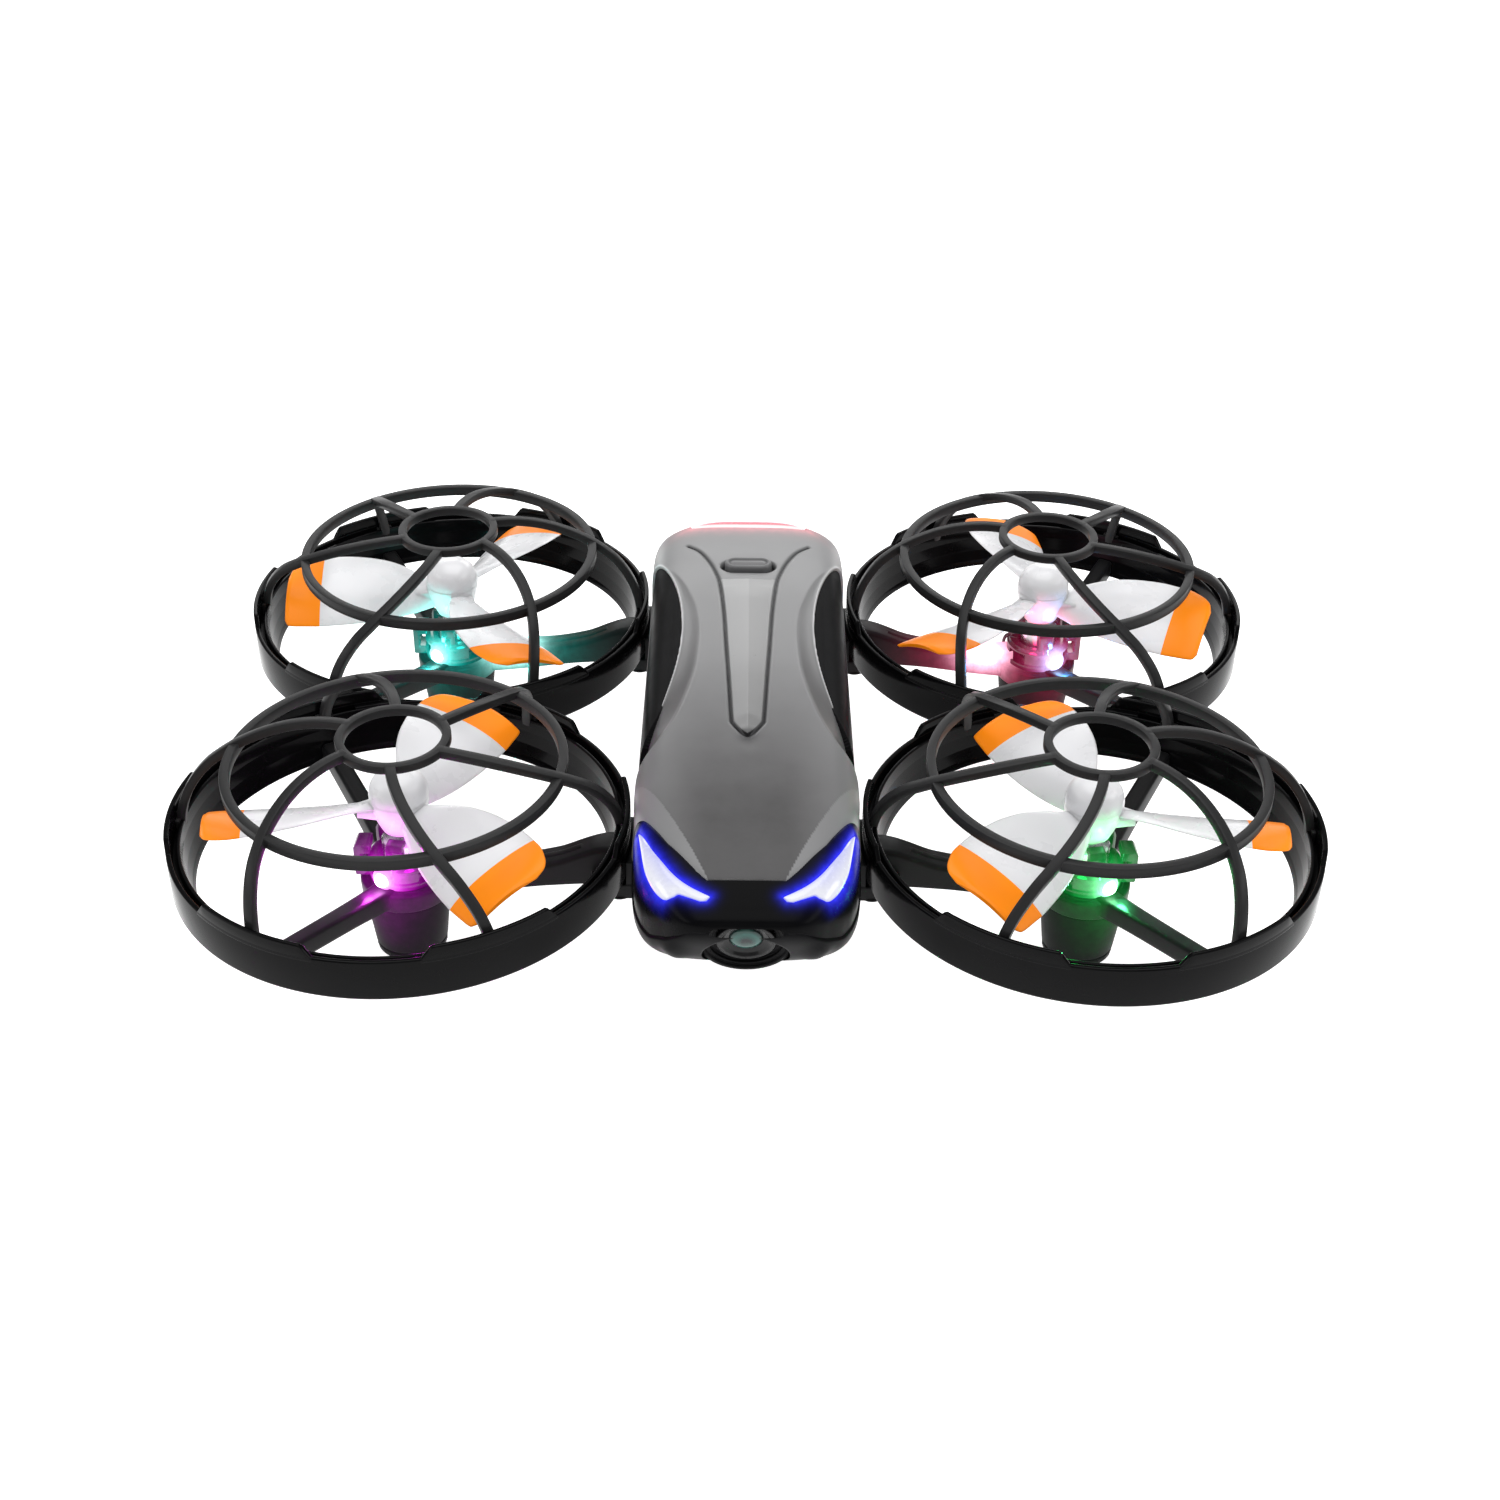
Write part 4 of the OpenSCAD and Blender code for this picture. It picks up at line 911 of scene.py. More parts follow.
def upper_field(P):
    x, y, z = P[..., 0], P[..., 1], P[..., 2]
    ax = np.abs(x)
    out = np.zeros_like(x)
    dark = np.zeros_like(x)
    lite = np.zeros_like(x)
    # painted shade: the hood darker towards the nose, and the front a little darker overall
    tone = 0.78 * sstep(-12, -72, y) * sstep(24, 6, ax) + 0.25 * sstep(10, -40, y)
    # coves beside the side panels
    cd = cove_depth(x, y)
    low = sstep(22.4, 24.6, z)
    out -= cd * low
    # the hood's side facets
    yy = np.interp(ax, HOODCREASE[::-1, 0], HOODCREASE[::-1, 1])
    fac = np.clip((yy - y) * 0.38, 0, 6) * (y < -44) * (ax > 7.0)
    out -= 0.16 * fac * sstep(22.6, 26, z)
    # painted shade on the coves' lower front parts; none on the hood's side facets
    tone = np.maximum(tone, 0.75 * sstep(0.1, 0.8, cd) * sstep(18, -25, y))
    tone = np.where((yy - y > 0.2) & (y < -44) & (ax > 7.0), 0.06, tone)
    # grooves beside the ridge
    d, _ = poly_dist(-ax, y, GROOVE)
    gd = np.exp(-((d / 0.42) ** 2))
    out -= 0.55 * gd
    # painted shade darkens the grooves
    dark = np.maximum(dark, np.clip(1.25 * np.exp(-((d / 0.36) ** 2)), 0, 1))
    # shadowed dip in front of the ridge's tip
    dt = np.hypot(x * 0.8, (y + 39.6) * 0.55)
    out -= 0.35 * np.exp(-((dt / 1.6) ** 2))
    dark = np.maximum(dark, 0.55 * np.exp(-((dt / 1.5) ** 2)))
    # button well
    bx, by = np.maximum(ax - 2.9, 0), y - 30.4
    db = np.hypot(bx, by) - 3.15
    well = sstep(0.35, -0.2, db) * (z > 30)
    out -= 1.3 * well
    # painted shade in the well
    dark = np.maximum(dark, sstep(0.3, -0.05, db) * (z > 30))
    # side panels' recess, with a thin raised lip carrying a painted highlight, and painted shade where the shell runs
    # in under the panel
    k = ax - cres_x(y)
    inc = sstep(0.0, 0.45, k) * sstep(23.2, 23.8, z)
    out = np.where(inc > 0, out * (1 - inc) - inc * (cd * low + 2.6), out)
    lip = np.exp(-(((k + 0.35) / 0.26) ** 2)) * sstep(23.4, 24.2, z) * sstep(40, 36, y)
    out += 0.14 * lip
    # painted highlight along the lip
    lite = np.maximum(lite, 0.85 * np.exp(-(((k + 0.22) / 0.2) ** 2)) * sstep(23.4, 24.2, z))
    dark = np.maximum(dark, sstep(0.1, 0.4, k) * sstep(23.2, 23.8, z))
    # tail lamp's recess
    tb = np.maximum(ax - 13.4, 52.9 - y)
    rec = sstep(0.3, -0.15, tb) * (z > 34.2)
    out = np.where(rec > 0, out - 1.6 * rec, out)
    # hood edge drops to the nose
    e = sd(x, y, HOODEDGE)
    out -= 0.10 * np.exp(-((np.minimum(e, 0) / 0.5) ** 2)) * (e > -2)
    out -= 2.4 * sstep(0.0, 0.45, e)
    # painted light: red glow of the tail lamp on the shell round it
    glow = np.exp(-((np.maximum(tb, 0) / 2.6) ** 1.4)) * (y > 40)
    # painted light: blue glow round each headlight
    eg = np.minimum(sd(x, y, EYE), sd(-x, y, EYE))
    blue = np.exp(-((np.maximum(eg, 0) / 0.85) ** 1.3)) * (y < -50) * sstep(27.5, 30.5, z)
    return out, dict(dark=dark, lite=lite, tone=tone, glow=glow, blue=blue)


GREY = (0.225, 0.225, 0.228)
# grey shell: its shade colour is painted shade, and its red and blue emission is painted light from the tail lamp and
# round the headlights
M_GREY = plastic("grey_shell", GREY, rough=0.36, vary=0.04, grain=3600, bump=0.09, coat=0.0, wear=0.4, wear_col=(0.5, 0.5, 0.5), spec=0.28,
                 attrs=("dark", "lite"), tone=(0.042, 0.040, 0.041), emit=[("glow", (1.0, 0.16, 0.22), 0.55), ("blue", (0.03, 0.04, 1.0), 0.35)])
# its shade colour is painted shade on the ridge
M_TRIM = plastic("grey_trim", (0.27, 0.27, 0.272), rough=0.34, vary=0.04, grain=3600, bump=0.09, wear=0.5, wear_col=(0.5, 0.5, 0.5), coat=0.12, coat_rough=0.25,
                 attrs=("dark",), tone=(0.15, 0.15, 0.15))
M_PANEL = plastic("dark_panel", (0.008, 0.008, 0.0085), rough=0.45, vary=0.10, grain=3000, bump=0.08, wear=0.12, wear_col=(0.05, 0.05, 0.05), spec=0.02)
# the blue emission is painted light round the headlights
M_NOSE = plastic("nose_black", (0.0022, 0.0022, 0.0026), rough=0.28, vary=0.1, grain=3200, bump=0.04, coat=0.0, wear=0.08, wear_col=(0.03, 0.03, 0.03), spec=0.03,
                 attrs=("dark",), emit=[("blue", (0.03, 0.035, 1.0), 1.1)])
M_LOWER = plastic("black_shell", (0.004, 0.004, 0.0045), rough=0.36, vary=0.12, grain=2600, bump=0.08, spec=0.04, wear=0.3, wear_col=(0.10, 0.10, 0.10), attrs=("dark",))
M_BTN = plastic("button_grey", (0.13, 0.13, 0.133), rough=0.38, bump=0.08, wear=0.5, wear_col=(0.35, 0.35, 0.35), attrs=("dark",))
M_BALL = plastic("camera_black", (0.003, 0.003, 0.0035), rough=0.10, bump=0.02, coat=0.03, spec=0.03, wear=0.12, wear_col=(0.10, 0.10, 0.10), coat_rough=0.05)
M_RING = plastic("camera_ring", (0.005, 0.005, 0.0055), rough=0.2, bump=0.04, coat=0.15, spec=0.15, wear=0.3, wear_col=(0.2, 0.2, 0.2))
M_EYE = lamp_mat("headlight", (0.90, 0.91, 1.0), (0.42, 0.44, 1.0), 0.72, 1300, base=0.22)
M_TAIL = lamp_mat("tail_light", (1.0, 0.93, 0.94), (1.0, 0.22, 0.28), 0.98, 1100, base=0.05)
M_PCB = plastic("circuit_board", (0.01, 0.10, 0.045), rough=0.3, vary=0.2, bump=0.2, wear=0.2)
M_CHIP = plastic("black_component", (0.02, 0.02, 0.02), rough=0.5, bump=0.3, wear=0.2)
M_CREAM = plastic("cream_connector", (0.70, 0.66, 0.55), rough=0.45, bump=0.15, wear=0.2)
M_BATT = plastic("battery_case", (0.025, 0.025, 0.027), rough=0.5, grain=1400, bump=0.35, wear=0.5, wear_col=(0.12, 0.12, 0.12))
M_WPCB = plastic("white_board", (0.72, 0.72, 0.70), rough=0.4, bump=0.1, wear=0.2)
M_LEAD = plastic("lead_red", (0.42, 0.02, 0.02), rough=0.45, bump=0.1, wear=0.1)

camera_cut = bpy.data.meshes.new("camera_cut")
import bmesh

bm = bmesh.new()
bmesh.ops.create_uvsphere(bm, u_segments=96, v_segments=64, radius=9.6 * MM)
bm.to_mesh(camera_cut)
bm.free()
CUT = bpy.data.objects.new("camera_cut", camera_cut)
CUT.location = (0, -81 * MM, (23.6 + LIFT) * MM)
scene.collection.objects.link(CUT)

# grey upper shell
ys = np.concatenate([np.linspace(-80.9, -44, 130), np.linspace(-44, 52, 300)[1:], 52 + 8 * np.sin(np.linspace(0, math.pi / 2, 46))[1:]])
an = even_angles(0.0, math.pi, 250)
P, N, Y, A = body_grid(ys, an)
out, at = upper_field(P)
shell_piece("upper_cover", P, N, out, 1.6, [M_GREY], ["upper_shell"], attrs=at, cutters=[CUT])

# dark side panels
for s, side in ((1, "left"), (-1, "right")):
    ys = np.linspace(-32.2, 44.2, 170)
    full = even_angles(0.0, math.pi, 400)
    px = surf(np.zeros(400), full)
    sel = (px[:, 0] * s > 13.0) & (px[:, 2] > 23.0)
    an = full[sel]
    P, N, Y, A = body_grid(ys, an)
    x, y, z = P[..., 0], P[..., 1], P[..., 2]
    k = np.abs(x) - cres_x(y)
    f = np.clip((22.5 - np.abs(x)) / 5.0, 0, 1)
    out = -(0.55 + (cove_depth(x, y) * 0.85 + 0.15) * f)
    out = np.where(k < -0.9, np.minimum(out, -2.9), out)
    out -= 0.8 * sstep(23.9, 23.3, z)
    shell_piece("side_panel_cover_" + side, P, N, out, 3.2, [M_PANEL], ["side_panel_" + side])

# ridge between the grooves
m = Mesh()
st = np.linspace(23.6, -38.1, 120)
gx = np.interp(st, GROOVE[::-1, 1], -GROOVE[::-1, 0])
prof_rows = []
for y, g in zip(st, gx):
    hw = max(g - 0.45, 0.06)
    h = float(np.interp(y, [-38.1, -37.2, -35.4, -33, -10, 15, 23.6], [0.05, 0.25, 0.8, 1.15, 0.95, 0.65, 0.35]))
    e = 0.10 if y < 20 else 0.05
    t = np.array([-1, -0.96, -0.9, -0.6, -0.3, -0.06, 0, 0.06, 0.3, 0.6, 0.9, 0.96, 1])
    zt = top_z(t * hw, np.full(13, y))
    rise = e + (h - e) * (1 - np.abs(t)) ** 1.0
    rise[[0, -1]] -= 0.12
    row = np.column_stack([t * hw, np.full(13, y), zt + rise])
    row = np.vstack([row, [[hw, y, zt[-1] - 0.9], [-hw, y, zt[0] - 0.9]]])
    prof_rows.append(row)
v = np.vstack(prof_rows)
n = 15
f = [tuple(q) for q in grid_faces(len(st), n, close_v=True)] + [tuple(range(n)), tuple(range((len(st) - 1) * n, len(st) * n))]
# painted shade: the ridge's front face dark, its +X facet darker than the other, and darker towards the front
m.add(v, f, 0, dark=sstep(-36.0, -37.4, v[:, 1]) * 0.9, tone=0.35 * sstep(5, -35, v[:, 1]) + 0.45 * (v[:, 0] > 0.02))
build("spine_ridge", m, [M_TRIM], "airframe", ["spine_trim"], sharp=14)

# power button: a pill with a dished top and a raised ring
m = Mesh()


def pill(r, half=2.9, n=24):
    t = np.linspace(-math.pi / 2, math.pi / 2, n)
    a = np.column_stack([half + r * np.cos(t), r * np.sin(t)])
    return np.vstack([a, -a])


rows = [(2.9, 36.55), (3.02, 36.6), (3.02, 37.45), (2.42, 37.5), (2.38, 40.1), (2.3, 40.45), (2.1, 40.68), (1.85, 40.76), (1.6, 40.7), (1.4, 40.55), (1.15, 40.5), (0.8, 40.5), (0.5, 40.62), (0.2, 40.66)]
rings = [np.column_stack([pill(r), np.full(48, z)]) for r, z in rows]
for q in rings:
    q[:, 1] += 30.4
v = np.vstack(rings)
f = [tuple(q) for q in grid_faces(len(rings), 48, close_v=True, flip=True)] + [tuple(range(47, -1, -1)), tuple(range((len(rings) - 1) * 48, len(rings) * 48))]
rr = np.repeat([r for r, _ in rows], 48)
m.add(v, f, 0, dark=0.8 * np.exp(-(((rr - 1.3) / 0.3) ** 2)))
build("power_button_cap", m, [M_BTN], "button", ["power_button"])

# nose, from the hood's edge down to the seam
ys = np.concatenate([-89.2 + 1.2 * (1 - np.cos(np.linspace(0, math.pi / 2, 14))), np.linspace(-88.0, -55.0, 150)[1:]])
an = even_angles(0.0, math.pi, 240, -70)
P, N, Y, A = body_grid(ys, an)
x, y, z = P[..., 0], P[..., 1], P[..., 2]
e = sd(x, y, HOODEDGE)
eg = np.minimum(sd(x, y, EYE), sd(-x, y, EYE))
out = -0.3 * np.ones_like(x)
out -= 1.4 * sstep(-0.3, -1.0, e)
out -= 0.25 * np.exp(-((np.maximum(eg, 0) / 0.5) ** 2))
out -= 1.0 * sstep(0.1, -0.3, eg)
out -= 0.2 * sstep(-62, -56, y)
end = sstep(-88.9, -89.2, y)
out -= 0.5 * end
d = np.abs(np.minimum(A, math.pi - A))
zz = z - pch(y, MID)
# painted light: blue glow round each headlight
blue = np.exp(-((np.maximum(eg, 0) / 0.85) ** 1.3)) * sstep(27.0, 30.5, z)
shell_piece("nose_mask", P, N, out, 2.3, [M_NOSE], ["nose_cover"], attrs=dict(blue=blue, dark=0.7 * sstep(0.35, 0.05, zz)), cutters=[CUT])

# headlights: a lens over each eye, slightly domed
for s, side in ((1, "left"), (-1, "right")):
    upper = smooth_line([[6.75, -83.35], [10.4, -80.95], [13.0, -78.5], [15.2, -75.4], [18.2, -69.9], [21.05, -62.7]], 90)
    lower = smooth_line([[6.75, -83.35], [7.5, -84.05], [8.6, -84.1], [10.9, -83.0], [12.6, -82.1], [13.6, -82.35], [15.1, -82.3], [16.4, -81.0], [18.0, -78.3], [19.4, -74.2], [20.3, -68.5], [21.05, -62.7]], 90)
    t = np.linspace(0, 1, 17)
    G = lower[:, None] * (1 - t)[None, :, None] + upper[:, None] * t[None, :, None]
    X, Yg = G[..., 0], G[..., 1]
    Z = top_z(X, Yg)
    L = np.stack([X, Yg, Z], -1)
    eps = 0.05
    nx = -(top_z(X + eps, Yg) - Z) / eps
    ny = -(top_z(X, Yg + eps) - Z) / eps
    Nn = np.stack([nx, ny, np.ones_like(nx)], -1)
    Nn /= np.linalg.norm(Nn, axis=2)[..., None]
    k = np.clip(np.sin(np.pi * t)[None, :] * np.sin(np.pi * np.linspace(0, 1, 91))[:, None] ** 0.5, 0, 1)
    off = -0.5 + 0.36 * k**0.5
    O, I = L + Nn * off[..., None], L + Nn * (-1.7)
    K = 91 * 17
    v = np.vstack([O.reshape(-1, 3), I.reshape(-1, 3)])
    q = grid_faces(91, 17)
    f = [tuple(a) for a in q] + [tuple(a[::-1] + K) for a in q]
    ed = [(i * 17, (i + 1) * 17) for i in range(90)] + [((i + 1) * 17 + 16, i * 17 + 16) for i in range(90)]
    f += [(a, a + K, b + K, b) for a, b in ed]
    v[:, 0] *= s
    m = Mesh()
    core = np.clip(0.15 + 1.1 * (1 - t)[None, :] ** 0.8 * np.ones((91, 1)) * sstep(0, 0.15, k), 0, 1)
    m.add(v, f, 0, core=np.concatenate([core.reshape(-1), np.zeros(K)]))
    build("headlight_lens_" + side, m, [M_EYE], "airframe", ["headlight_" + side], merge=True)

# tail lamp: a long lens over the rear edge
ys = np.concatenate([np.linspace(53.05, 58, 26), 58 + 1.9 * np.sin(np.linspace(0, math.pi / 2, 16))[1:]])
full = even_angles(0.0, math.pi, 600, 56)
m = Mesh()
rows = []
for yv in ys:
    xs = 13.25 * np.linspace(-1, 1, 90)
    w = 22.5 * float(pch(yv, HALF))
    xs = np.clip(xs, -w * 0.97, w * 0.97)
    z = top_z(xs, np.full(90, yv))
    zr = np.maximum(z - 0.12 - 0.25 * np.clip((np.abs(xs) - 12.6) / 0.65, 0, 1) ** 2 - 0.25 * float(sstep(53.5, 53.05, yv)), 34.5)
    rows.append(np.column_stack([xs, np.full(90, yv), zr]))
O = np.array(rows)
I = O.copy()
I[..., 2] = 34.0
K = O.shape[0] * 90
v = np.vstack([O.reshape(-1, 3), I.reshape(-1, 3)])
q = grid_faces(O.shape[0], 90)
f = [tuple(a) for a in q] + [tuple(a[::-1] + K) for a in q]
nu, nv = O.shape[0], 90
edge = [(i * nv, (i + 1) * nv) for i in range(nu - 1)] + [((i + 1) * nv + nv - 1, i * nv + nv - 1) for i in range(nu - 1)]
edge += [(j + 1, j) for j in range(nv - 1)] + [((nu - 1) * nv + j, (nu - 1) * nv + j + 1) for j in range(nv - 1)]
f += [(a, a + K, b + K, b) for a, b in edge]
yo = O[..., 1]
core = np.clip(sstep(55.3, 54.2, yo) * sstep(13.3, 12.6, np.abs(O[..., 0])), 0, 1)
m.add(v, f, 0, core=np.concatenate([core.reshape(-1), np.zeros(K)]))
build("tail_lamp_lens", m, [M_TAIL], "airframe", ["tail_light_bar"])

# lower shell
ys = np.concatenate([-89.2 + 1.2 * (1 - np.cos(np.linspace(0, math.pi / 2, 14))), np.linspace(-88.0, 52, 300)[1:], 52 + 8 * np.sin(np.linspace(0, math.pi / 2, 40))[1:]])
an = even_angles(-math.pi, 0.0, 200, -20)
P, N, Y, A = body_grid(ys, an)
x, y, z = P[..., 0], P[..., 1], P[..., 2]
ax = np.abs(x)
out = np.zeros_like(x)
zz = pch(y, MID) - z
out -= 0.45 * np.exp(-((zz / 0.35) ** 2)) * (z < 40)
dark = 0.7 * np.exp(-((zz / 0.35) ** 2))
# lips on each side of the camera
out += 0.9 * np.exp(-(((ax - 13.2) / 2.6) ** 2)) * np.exp(-(((y + 84.6) / 2.0) ** 2)) * sstep(0.3, 2.5, zz)
# vents under the board, darkened inside with painted shade, and a panel line round the battery bay
bot = sstep(10.6, 9.6, z)
for k in range(6):
    yc = -40 + 4.2 * k
    d = np.hypot(np.maximum(ax - 7.5, 0), y - yc)
    out -= 1.3 * sstep(0.95, 0.55, d) * bot
    dark = np.maximum(dark, sstep(0.95, 0.6, d) * bot)
box = np.maximum(ax - 14.6, np.abs(y - 29) - 28.5)
out -= 0.5 * np.exp(-((box / 0.35) ** 2)) * bot
dark = np.maximum(dark, 0.8 * np.exp(-((box / 0.35) ** 2)) * bot)
# screw wells, darkened with painted shade
for sx_ in (-16.5, 16.5):
    for yc in (-56, 38):
        d = np.hypot(x - sx_, y - yc)
        w_ = sstep(2.25, 1.95, d) * sstep(16, 13, z)
        out -= 1.3 * w_
        dark = np.maximum(dark, w_ * 0.6)
LOW_P = (P, N, out, dark)
shell_piece("lower_cover", P, N, out, 1.7, [M_LOWER], ["lower_shell"], attrs=dict(dark=dark), cutters=[CUT])


# camera: ball, stepped rings, lens
TILT = math.radians(108)


def cam_place(v):
    c, s = math.cos(TILT), math.sin(TILT)
    v = np.asarray(v)
    return np.column_stack([v[:, 0], v[:, 1] * c - v[:, 2] * s - 81, v[:, 1] * s + v[:, 2] * c + 23.6])


m = Mesh()
R = 9.4
ball = [[R * math.cos(math.radians(t)), R * math.sin(math.radians(t))] for t in np.linspace(-50, 18.5, 40)]
prof = [[6.0, -7.2]] + ball + [[8.75, 3.18], [8.25, 3.2], [7.95, 3.05], [7.9, 2.72], [7.45, 2.7], [7.05, 2.66], [6.98, 2.12], [6.4, 2.1], [5.7, 2.06], [5.66, 1.45], [3.05, 1.42], [3.05, -1.45], [6.0, -1.5]]
v, f = lathe(np.array(prof), 128)
m.add(v, f)
for r_, d_ in ((8.2, 3.18), (7.2, 2.68), (6.2, 2.1)):
    v, f = lathe(fillet([[r_ - 0.12, d_ - 0.2], [r_ + 0.12, d_ - 0.2], [r_ + 0.12, d_ + 0.08], [r_ - 0.12, d_ + 0.08]], 0.05, 1), 128)
    m.add(v, f)
for s in (-1, 1):
    v, f = lathe(fillet([[0.02, 9.0], [1.5, 9.0], [1.5, 11.28], [0.02, 11.28]], [0, 0.1, 0.2, 0], 2), 48)
    m.add(np.column_stack([v[:, 2] * s, v[:, 0], v[:, 1]]), f)
build("camera_ball", m, [M_BALL], "camera", ["camera_housing"], place=cam_place)
m = Mesh()
v, f = lathe(fillet([[3.2, 1.45], [5.55, 1.45], [5.55, 2.9], [4.75, 2.9], [4.2, 2.3], [3.2, 2.0]], [0.05, 0.05, 0.15, 0.2, 0.2, 0.05], 3), 128)
m.add(v, f)
for r_, d_ in ((4.95, 2.88), (5.3, 2.88)):
    v, f = lathe(fillet([[r_ - 0.08, d_ - 0.1], [r_ + 0.08, d_ - 0.1], [r_ + 0.08, d_ + 0.06], [r_ - 0.08, d_ + 0.06]], 0.03, 1), 128)
    m.add(v, f)
build("camera_bezel", m, [M_RING], "camera", ["camera_lens_ring"], place=cam_place)
# lens glass: dark pupil under a coated dome
gm, nt, p = mat_base("lens_glass")
tcg = nt.nodes.new("ShaderNodeTexCoord").outputs["Object"]
rad = attr(nt, "rad")
c1 = mix_rgb(nt, ramp(nt, rad, 0.25, 0.75), (0.004, 0.006, 0.008), (0.02, 0.10, 0.085))
c2 = mix_rgb(nt, ramp(nt, rad, 0.72, 1.0), c1, (0.002, 0.002, 0.003))
c3 = mix_rgb(nt, math_n(nt, "MULTIPLY", ramp(nt, noise(nt, 320, 3, co=tcg), 0.45, 0.7), 0.8, True), c2, (0.02, 0.07, 0.055))
nt.links.new(c3, p.inputs["Base Color"])
nt.links.new(ramp(nt, noise(nt, 200, 2, co=tcg), 0.3, 0.7, 0.03, 0.07), p.inputs["Roughness"])
p.inputs["IOR"].default_value = 1.62
p.inputs["Coat Weight"].default_value = 0.12
p.inputs["Coat Roughness"].default_value = 0.02
p.inputs["Specular IOR Level"].default_value = 0.25
# painted light: the glass gives off a faint glow of its own colour
nt.links.new(mix_rgb(nt, 0.0, c3, c3), p.inputs["Emission Color"])
p.inputs["Emission Strength"].default_value = 0.12
m = Mesh()
pr = [[0, 1.52], [3.13, 1.52], [3.13, 1.8]] + [[3.13 * math.cos(t), 1.8 + 1.08 * math.sin(t)] for t in np.linspace(0.06, math.pi / 2 - 0.03, 22)] + [[0, 2.88]]
v, f = lathe(np.array(pr), 96, closed=False)
m.add(v, f, 0, rad=np.hypot(v[:, 0], v[:, 1]) / 3.13)
build("camera_glass", m, [gm], "camera", ["camera_lens"], place=cam_place, merge=True)

# battery: case with a finger grip, ribs and a printed-wire connector end
m = Mesh()
x0, z0, z1 = 12.95, 11.12, 21.48
rows = []
for yv, sh in ((4.05, 0.5), (4.5, 0.1), (5.2, 0), (52.5, 0), (53.2, 0.35), (54.0, 0.35), (54.4, 0), (56.8, 0.0), (57.3, 0.3), (57.55, 0.9)):
    o = fillet([[-x0 + sh, z0 + sh], [x0 - sh, z0 + sh], [x0 - sh, z1 - sh], [-x0 + sh, z1 - sh]], 1.1, 5)
    rows.append(np.column_stack([o[:, 0], np.full(len(o), yv), o[:, 1]]))
n = len(rows[0])
f = [tuple(q) for q in grid_faces(len(rows), n, close_v=True)] + [tuple(range(n)), tuple(range((len(rows) - 1) * n, len(rows) * n))]
m.add(np.vstack(rows), f)
for k in range(5):
    zz_ = 13.2 + 1.5 * k
    P_ = np.array([[xx, 57.3, zz_] for xx in np.linspace(-7, 7, 12)])
    v, f = sweep(P_, np.tile([0, 0, 1.0], (12, 1)), rrect(0.55, 0.55, 0.2, 3))
    v[:, 1] = np.minimum(v[:, 1], 57.6)
    m.add(v, f)
build("battery_case", m, [M_BATT], "battery", ["battery_pack"])

for nm, mt in (("button_switch", M_CHIP), ("camera_sensor", M_PCB), ("camera_bracket", M_CHIP), ("main_board", M_PCB), ("board_components", M_CHIP),
               ("battery_connector", M_CREAM), ("light_boards", M_WPCB), ("motor_leads", M_LEAD), ("shell_screws", M_SCREW), ("duct_screws", M_SCREW)):
    NODES[nm].data.materials.clear()
    NODES[nm].data.materials.append(mt)
bpy.data.objects.remove(CUT)


# ------------------------------------------------------------------ stage, light, camera
floor = bpy.data.meshes.new("floor")
floor.from_pydata([(-6, -6, 0), (6, -6, 0), (6, 6, 0), (-6, 6, 0)], [], [(0, 1, 2, 3)])
fo = bpy.data.objects.new("floor", floor)
scene.collection.objects.link(fo)
fm, nt, p = mat_base("floor_pale")
nt.links.new(mix_rgb(nt, noise(nt, 3, 2), (0.86, 0.86, 0.86), (0.90, 0.90, 0.90)), p.inputs["Base Color"])
p.inputs["Emission Color"].default_value = (1, 1, 1, 1)
p.inputs["Emission Strength"].default_value = 0.95
p.inputs["Roughness"].default_value = 0.75
p.inputs["Specular IOR Level"].default_value = 0.2
floor.materials.append(fm)
fo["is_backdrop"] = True

w = bpy.data.worlds.new("studio")
scene.world = w
w.use_nodes = True
w.node_tree.nodes["Background"].inputs[0].default_value = (1, 1, 1, 1)
w.node_tree.nodes["Background"].inputs[1].default_value = 0.34


def area(name, loc, target, size, power, col=(1, 1, 1), size_y=None):
    d = bpy.data.lights.new(name, "AREA")
    d.energy, d.color = power, col
    d.shape, d.size, d.size_y = "RECTANGLE", size, size_y or size
    o = bpy.data.objects.new(name, d)
    o.location = loc
    o.rotation_euler = (Vector(target) - Vector(loc)).to_track_quat("-Z", "Y").to_euler()
    scene.collection.objects.link(o)
    return o


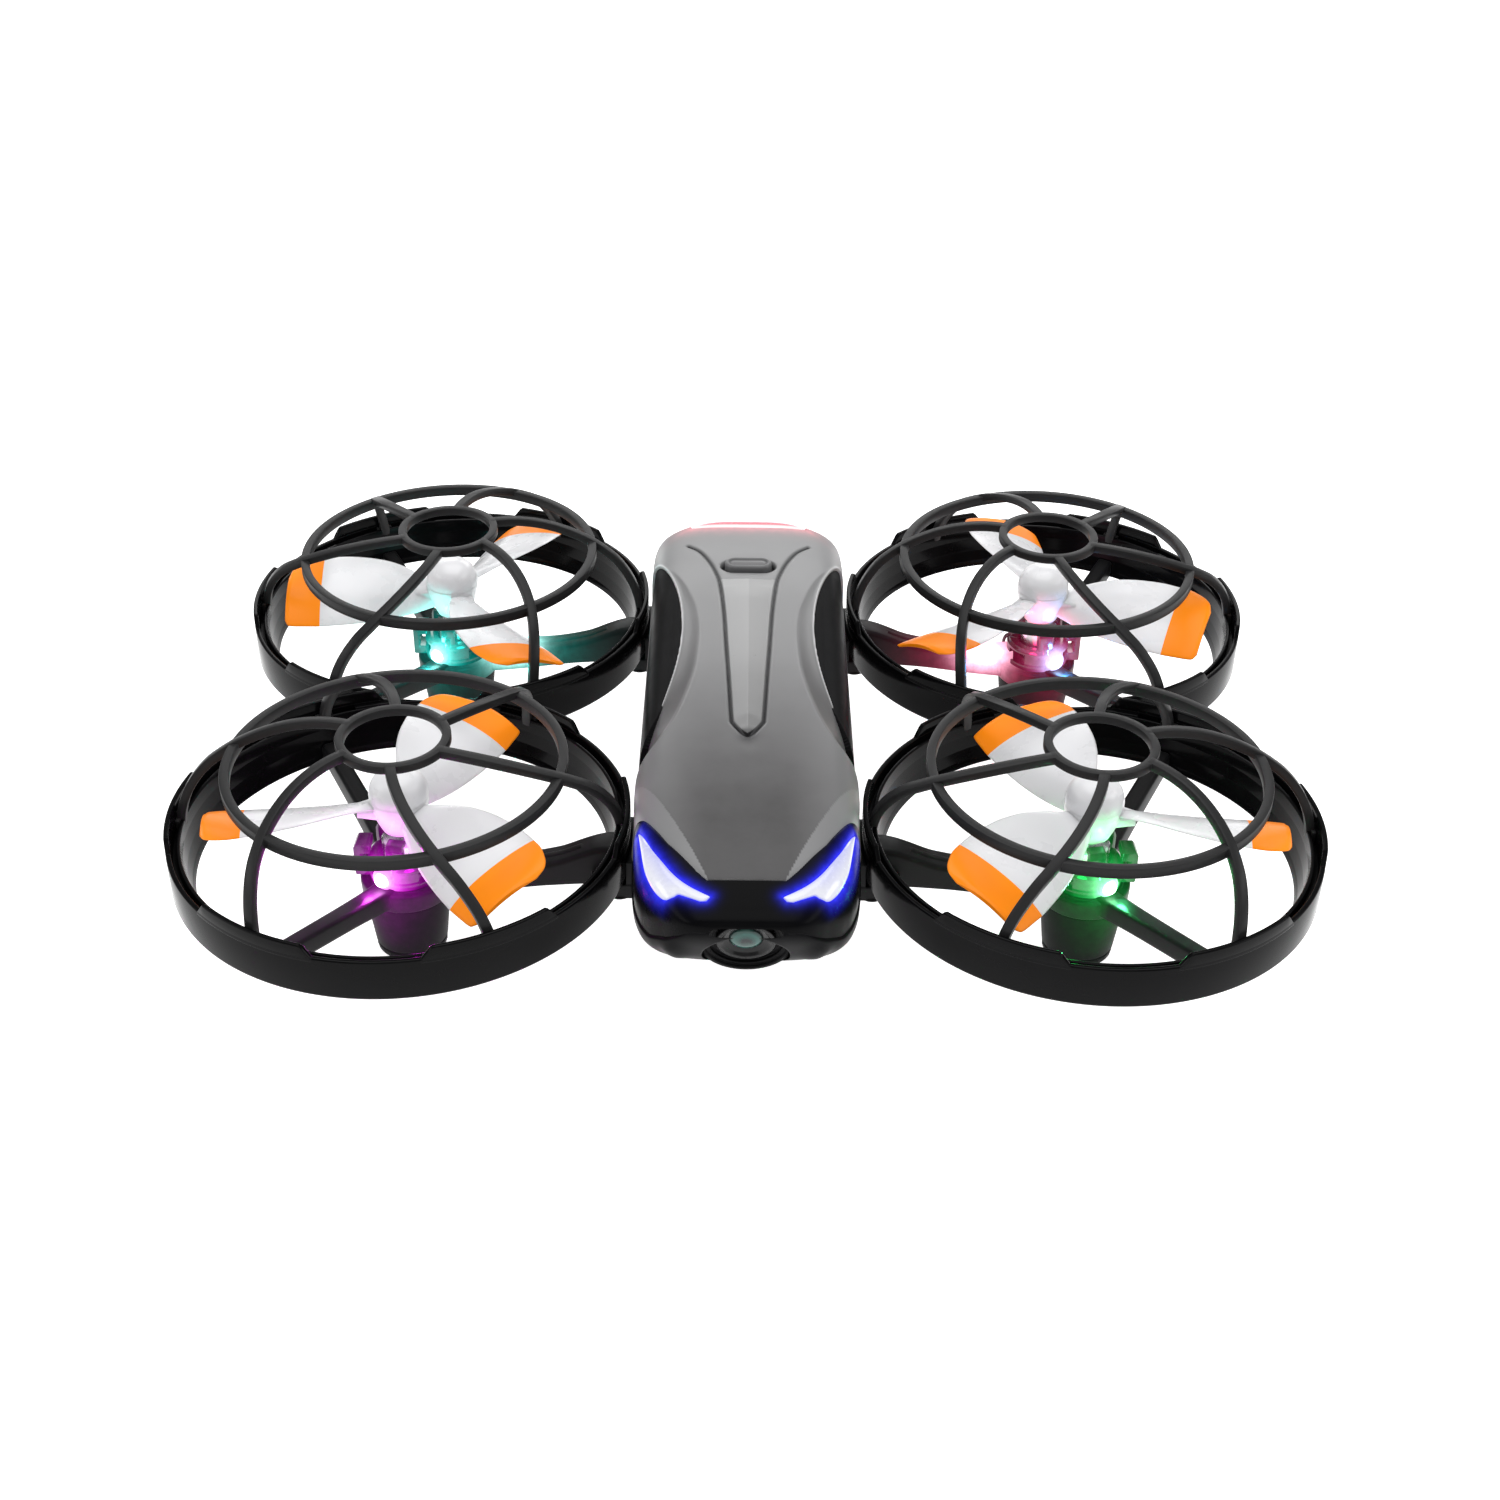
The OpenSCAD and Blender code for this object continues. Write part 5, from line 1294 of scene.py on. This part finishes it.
def point(name, loc_mm, power, col, r=0.0012):
    d = bpy.data.lights.new(name, "POINT")
    d.energy, d.color, d.shadow_soft_size = power, col, r
    o = bpy.data.objects.new(name, d)
    o.location = [loc_mm[0] * MM, loc_mm[1] * MM, (loc_mm[2] + LIFT) * MM]
    scene.collection.objects.link(o)
    return o


area("key_top", (0.0, 0.15, 0.75), (0, 0, 0.02), 0.7, 4.0)
area("side_left", (-0.7, -0.15, 0.40), (0, 0, 0.02), 0.5, 1.2, size_y=0.25)
area("side_right", (0.7, -0.10, 0.40), (0, 0, 0.02), 0.5, 1.4, size_y=0.25)
area("back_strip", (0.0, 0.75, 0.35), (0, 0, 0.02), 0.9, 1.8, size_y=0.18)
area("front_fill", (0.0, -0.8, 0.5), (0, 0, 0.02), 0.6, 0.5)
LIT = bpy.data.collections.new("lit_by_lamps")
for o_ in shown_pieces():
    LIT.objects.link(o_)
for o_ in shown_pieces():
    if o_.name.startswith(("lamp_lens", "pod_cup", "arm_beams", "headlight_lens", "tail_lamp", "nose_mask", "upper_cover", "foot_cap")):
        o_.light_linking.receiver_collection = LIT
for c in CORNERS:
    q = pod_place(c)(np.array([LED * [1.35, 1.35, 1.0]]))[0]
    a_ = point("led_" + c, q, 0.012, LIGHT[c])
    q = pod_place(c)(np.array([[3.0, -9.5, 16.0]]))[0]
    b_ = point("led_up_" + c, q, 0.006, GLOW[c], 0.002)
    for o_ in (a_, b_):
        o_.light_linking.receiver_collection = LIT

C = np.array([-1.747, -380.848, 262.410 + LIFT]) * MM
el, az, roll = math.radians(33.55), math.radians(-0.38), math.radians(0.81)
back = Vector((math.sin(az) * math.cos(el), -math.cos(az) * math.cos(el), math.sin(el)))
fwd = -back
right = Vector((math.cos(az), math.sin(az), 0))
up = right.cross(fwd)
r2 = right * math.cos(roll) + up * math.sin(roll)
u2 = -right * math.sin(roll) + up * math.cos(roll)
cam = bpy.data.cameras.new("camera")
cam.lens, cam.sensor_width = 49.42, 36
co = bpy.data.objects.new("camera", cam)
mw = Matrix.Identity(4)
for i in range(3):
    mw[i][0], mw[i][1], mw[i][2], mw[i][3] = r2[i], u2[i], -fwd[i], C[i]
co.matrix_world = mw
scene.collection.objects.link(co)
scene.camera = co
scene.view_settings.view_transform = "Standard"
